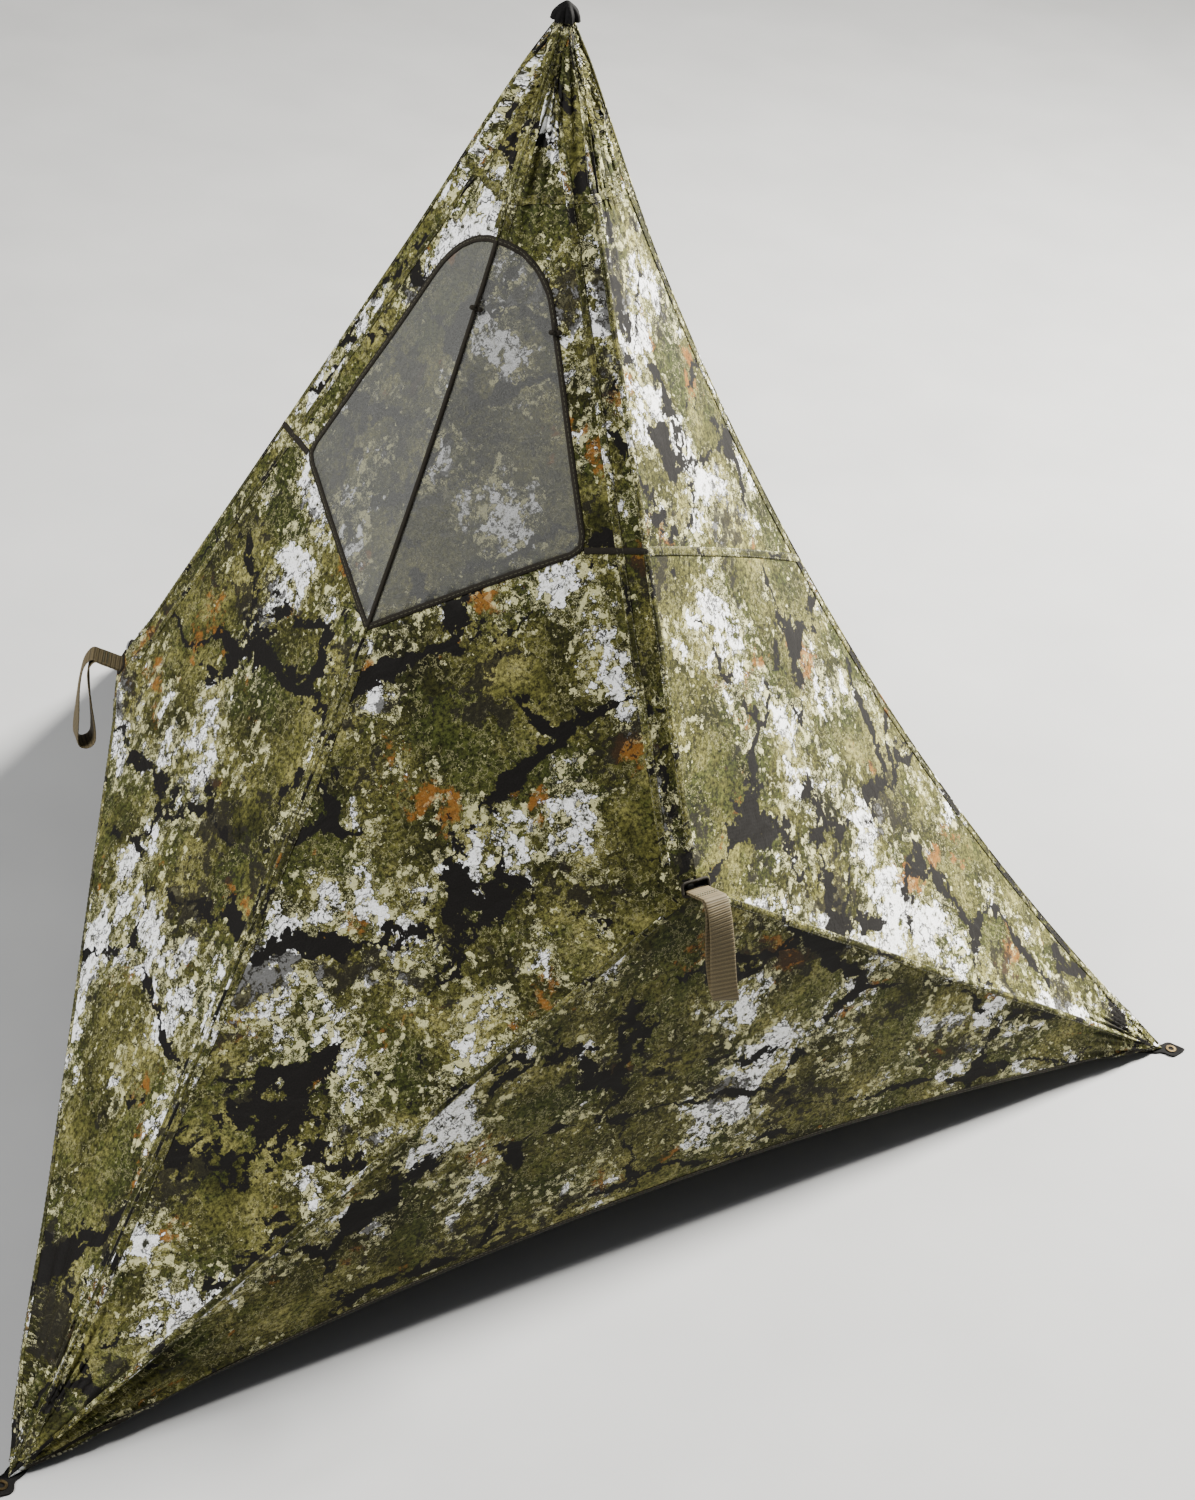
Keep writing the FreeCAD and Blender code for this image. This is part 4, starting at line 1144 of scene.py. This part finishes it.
def make_door_trim(wall):
    """Corded seam over the upper ridge, the zip's tapes and coils, and the door's own border."""
    cover, stitches = Pile(), Pile()
    seam(cover, stitches, wall, ridge_path(wall, "apex", 0.05, 0.10), 0.022, 0.0022, 0.008, above=0.0004)
    sew_on(cover, "door_ridge_seam", CAMO, "camo_cloth")
    sew_on(stitches, "door_ridge_stitches", THREAD, "dark_binding")
    tape, coil = Pile(), Pile()
    for path in (ridge_path(wall, "left", 0.075, 0.10), edge_path(wall, "apex", "left", 0.013, 0.07)):
        ribbon(tape, wall, path, 0.024, 0.0010)
        ribbon(coil, wall, path, 0.0048, 0.0014, rise=0.0012)
        stitch_row(coil, wall, path, 0.0, 0.0026, pitch=0.0036, length=0.0018, width=0.0052, rise=0.0008)
    sew_on(tape, "zip_tape", TAPE, "dark_binding")
    sew_on(coil, "zip_coil", ZIP_METAL, "zip_metal")
    border = Pile()
    inward = wall.above_left_ridge() * (RIDGE_STRIP + 0.006)
    for path in (ridge_path(wall, "left", 0.09, 0.15) + inward,
                 edge_path(wall, "apex", "left", EDGE_STRIP + 0.006, 0.10)):
        ribbon(border, wall, path, 0.010, 0.0012)
    obj, _ = border.build("door_border", TAPE, "dark_binding")
    fold_with_door(obj)


CAP_R = 0.0138
CAP_RISE = 0.003         # above the cloth's corner
CAP_DEPTH = 0.024


def make_apex_cap():
    """Gathered vinyl point over the top of the cloth."""
    top = CORNER["apex"]
    rows, columns = 30, 96
    points = []
    for r in range(rows):
        s = r / (rows - 1)
        drop = -CAP_RISE + CAP_DEPTH * s
        radius = CAP_R * math.sin(min(1.0, s * 1.25 + 0.06) * math.pi / 2) ** 0.8 + 0.004 * s
        for c in range(columns):
            angle = 2 * math.pi * c / columns
            fold = (0.12 * math.sin(7 * angle + 0.6) * smooth(s, 0.05, 0.4)
                    + 0.05 * math.sin(19 * angle + 2) * s)
            ring = radius * (1 + fold)
            points.append((top[0] + ring * math.cos(angle), top[1] + ring * math.sin(angle), top[2] - drop))
    faces = lattice_faces(rows, columns, closed_columns=True)
    faces.append(list(range(columns))[::-1])
    obj = new_object("apex_point", points, faces)
    obj.data.materials.append(VINYL)
    solid = obj.modifiers.new("thickness", "SOLIDIFY")
    solid.thickness = 0.0012
    solid.offset = -1
    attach(obj, "shell")
    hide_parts("apex_cap")


# ---- camera, light and floor --------------------

CAMERA_PLACE = (1.5838, -3.0125, 2.9558)
CAMERA_TURN = (1.9674, -0.5794, 0.1378)     # yaw, pitch and roll in radians
LENS = 67.73


def set_camera():
    data = bpy.data.cameras.new("camera")
    camera = bpy.data.objects.new("camera", data)
    bpy.context.scene.collection.objects.link(camera)
    data.sensor_width = 36.0
    data.lens = LENS
    yaw, pitch, roll = CAMERA_TURN
    forward = np.array((math.cos(yaw) * math.cos(pitch), math.sin(yaw) * math.cos(pitch), math.sin(pitch)))
    right = unit(np.cross(forward, (0, 0, 1)))
    up = np.cross(right, forward)
    x = math.cos(roll) * right + math.sin(roll) * up
    y = -math.sin(roll) * right + math.cos(roll) * up
    basis = Matrix((x, y, -forward)).transposed().to_4x4()
    camera.matrix_world = Matrix.Translation(CAMERA_PLACE) @ basis
    bpy.context.scene.camera = camera


def area_light(name, place, target, size, power, colour=(1, 1, 1)):
    data = bpy.data.lights.new(name, "AREA")
    data.shape = "DISK"
    data.size = size
    data.energy = power
    data.color = colour
    light = bpy.data.objects.new(name, data)
    light.location = place
    light.rotation_euler = (Vector(target) - Vector(place)).to_track_quat("-Z", "Y").to_euler()
    bpy.context.scene.collection.objects.link(light)


def set_stage():
    floor = new_object("floor", [(-9, -9, 0), (9, -9, 0), (9, 9, 0), (-9, 9, 0)], [(0, 1, 2, 3)])
    make = Maker("floor")
    shade = make.ramp(make.noise(make.local(), 3.0, 4.0),
                      [(0.3, (0.31, 0.31, 0.308)), (0.7, (0.34, 0.34, 0.337))])
    floor.data.materials.append(make.finish(Base_Color=shade, Roughness=0.85))
    floor.location.z = -0.0005
    world = bpy.data.worlds.new("studio")
    world.use_nodes = True
    background = world.node_tree.nodes["Background"]
    background.inputs["Color"].default_value = (0.93, 0.95, 1.0, 1)
    background.inputs["Strength"].default_value = 0.20
    bpy.context.scene.world = world
    area_light("key", (2.55, 4.55, 4.35), (0.3, 0.2, 0.7), 1.4, 2600, (1.0, 0.98, 0.93))
    area_light("fill", (-2.2, -3.6, 5.2), (0, 0.0, 0.8), 2.4, 560)


set_camera()
set_stage()
finish_cad_nodes()
for side_wall in ("right", "left"):
    border = make_side_wall(WALL[side_wall])
    make_seams(WALL[side_wall], border)
make_rear_wall(WALL["rear"])
make_seams(WALL["rear"])
for each in WALL.values():
    rim_of_slit(each)
make_slanting_edges()
make_strap(WALL["right"], -0.40, -0.034, 0.026)
make_strap(WALL["left"], 0.3, 0.0)
make_strap(WALL["rear"], -0.3, 0.0)
make_door_trim(WALL["rear"])
make_toggles()
make_apex_cap()
for end in ("front", "right", "left"):
    make_tab(end)
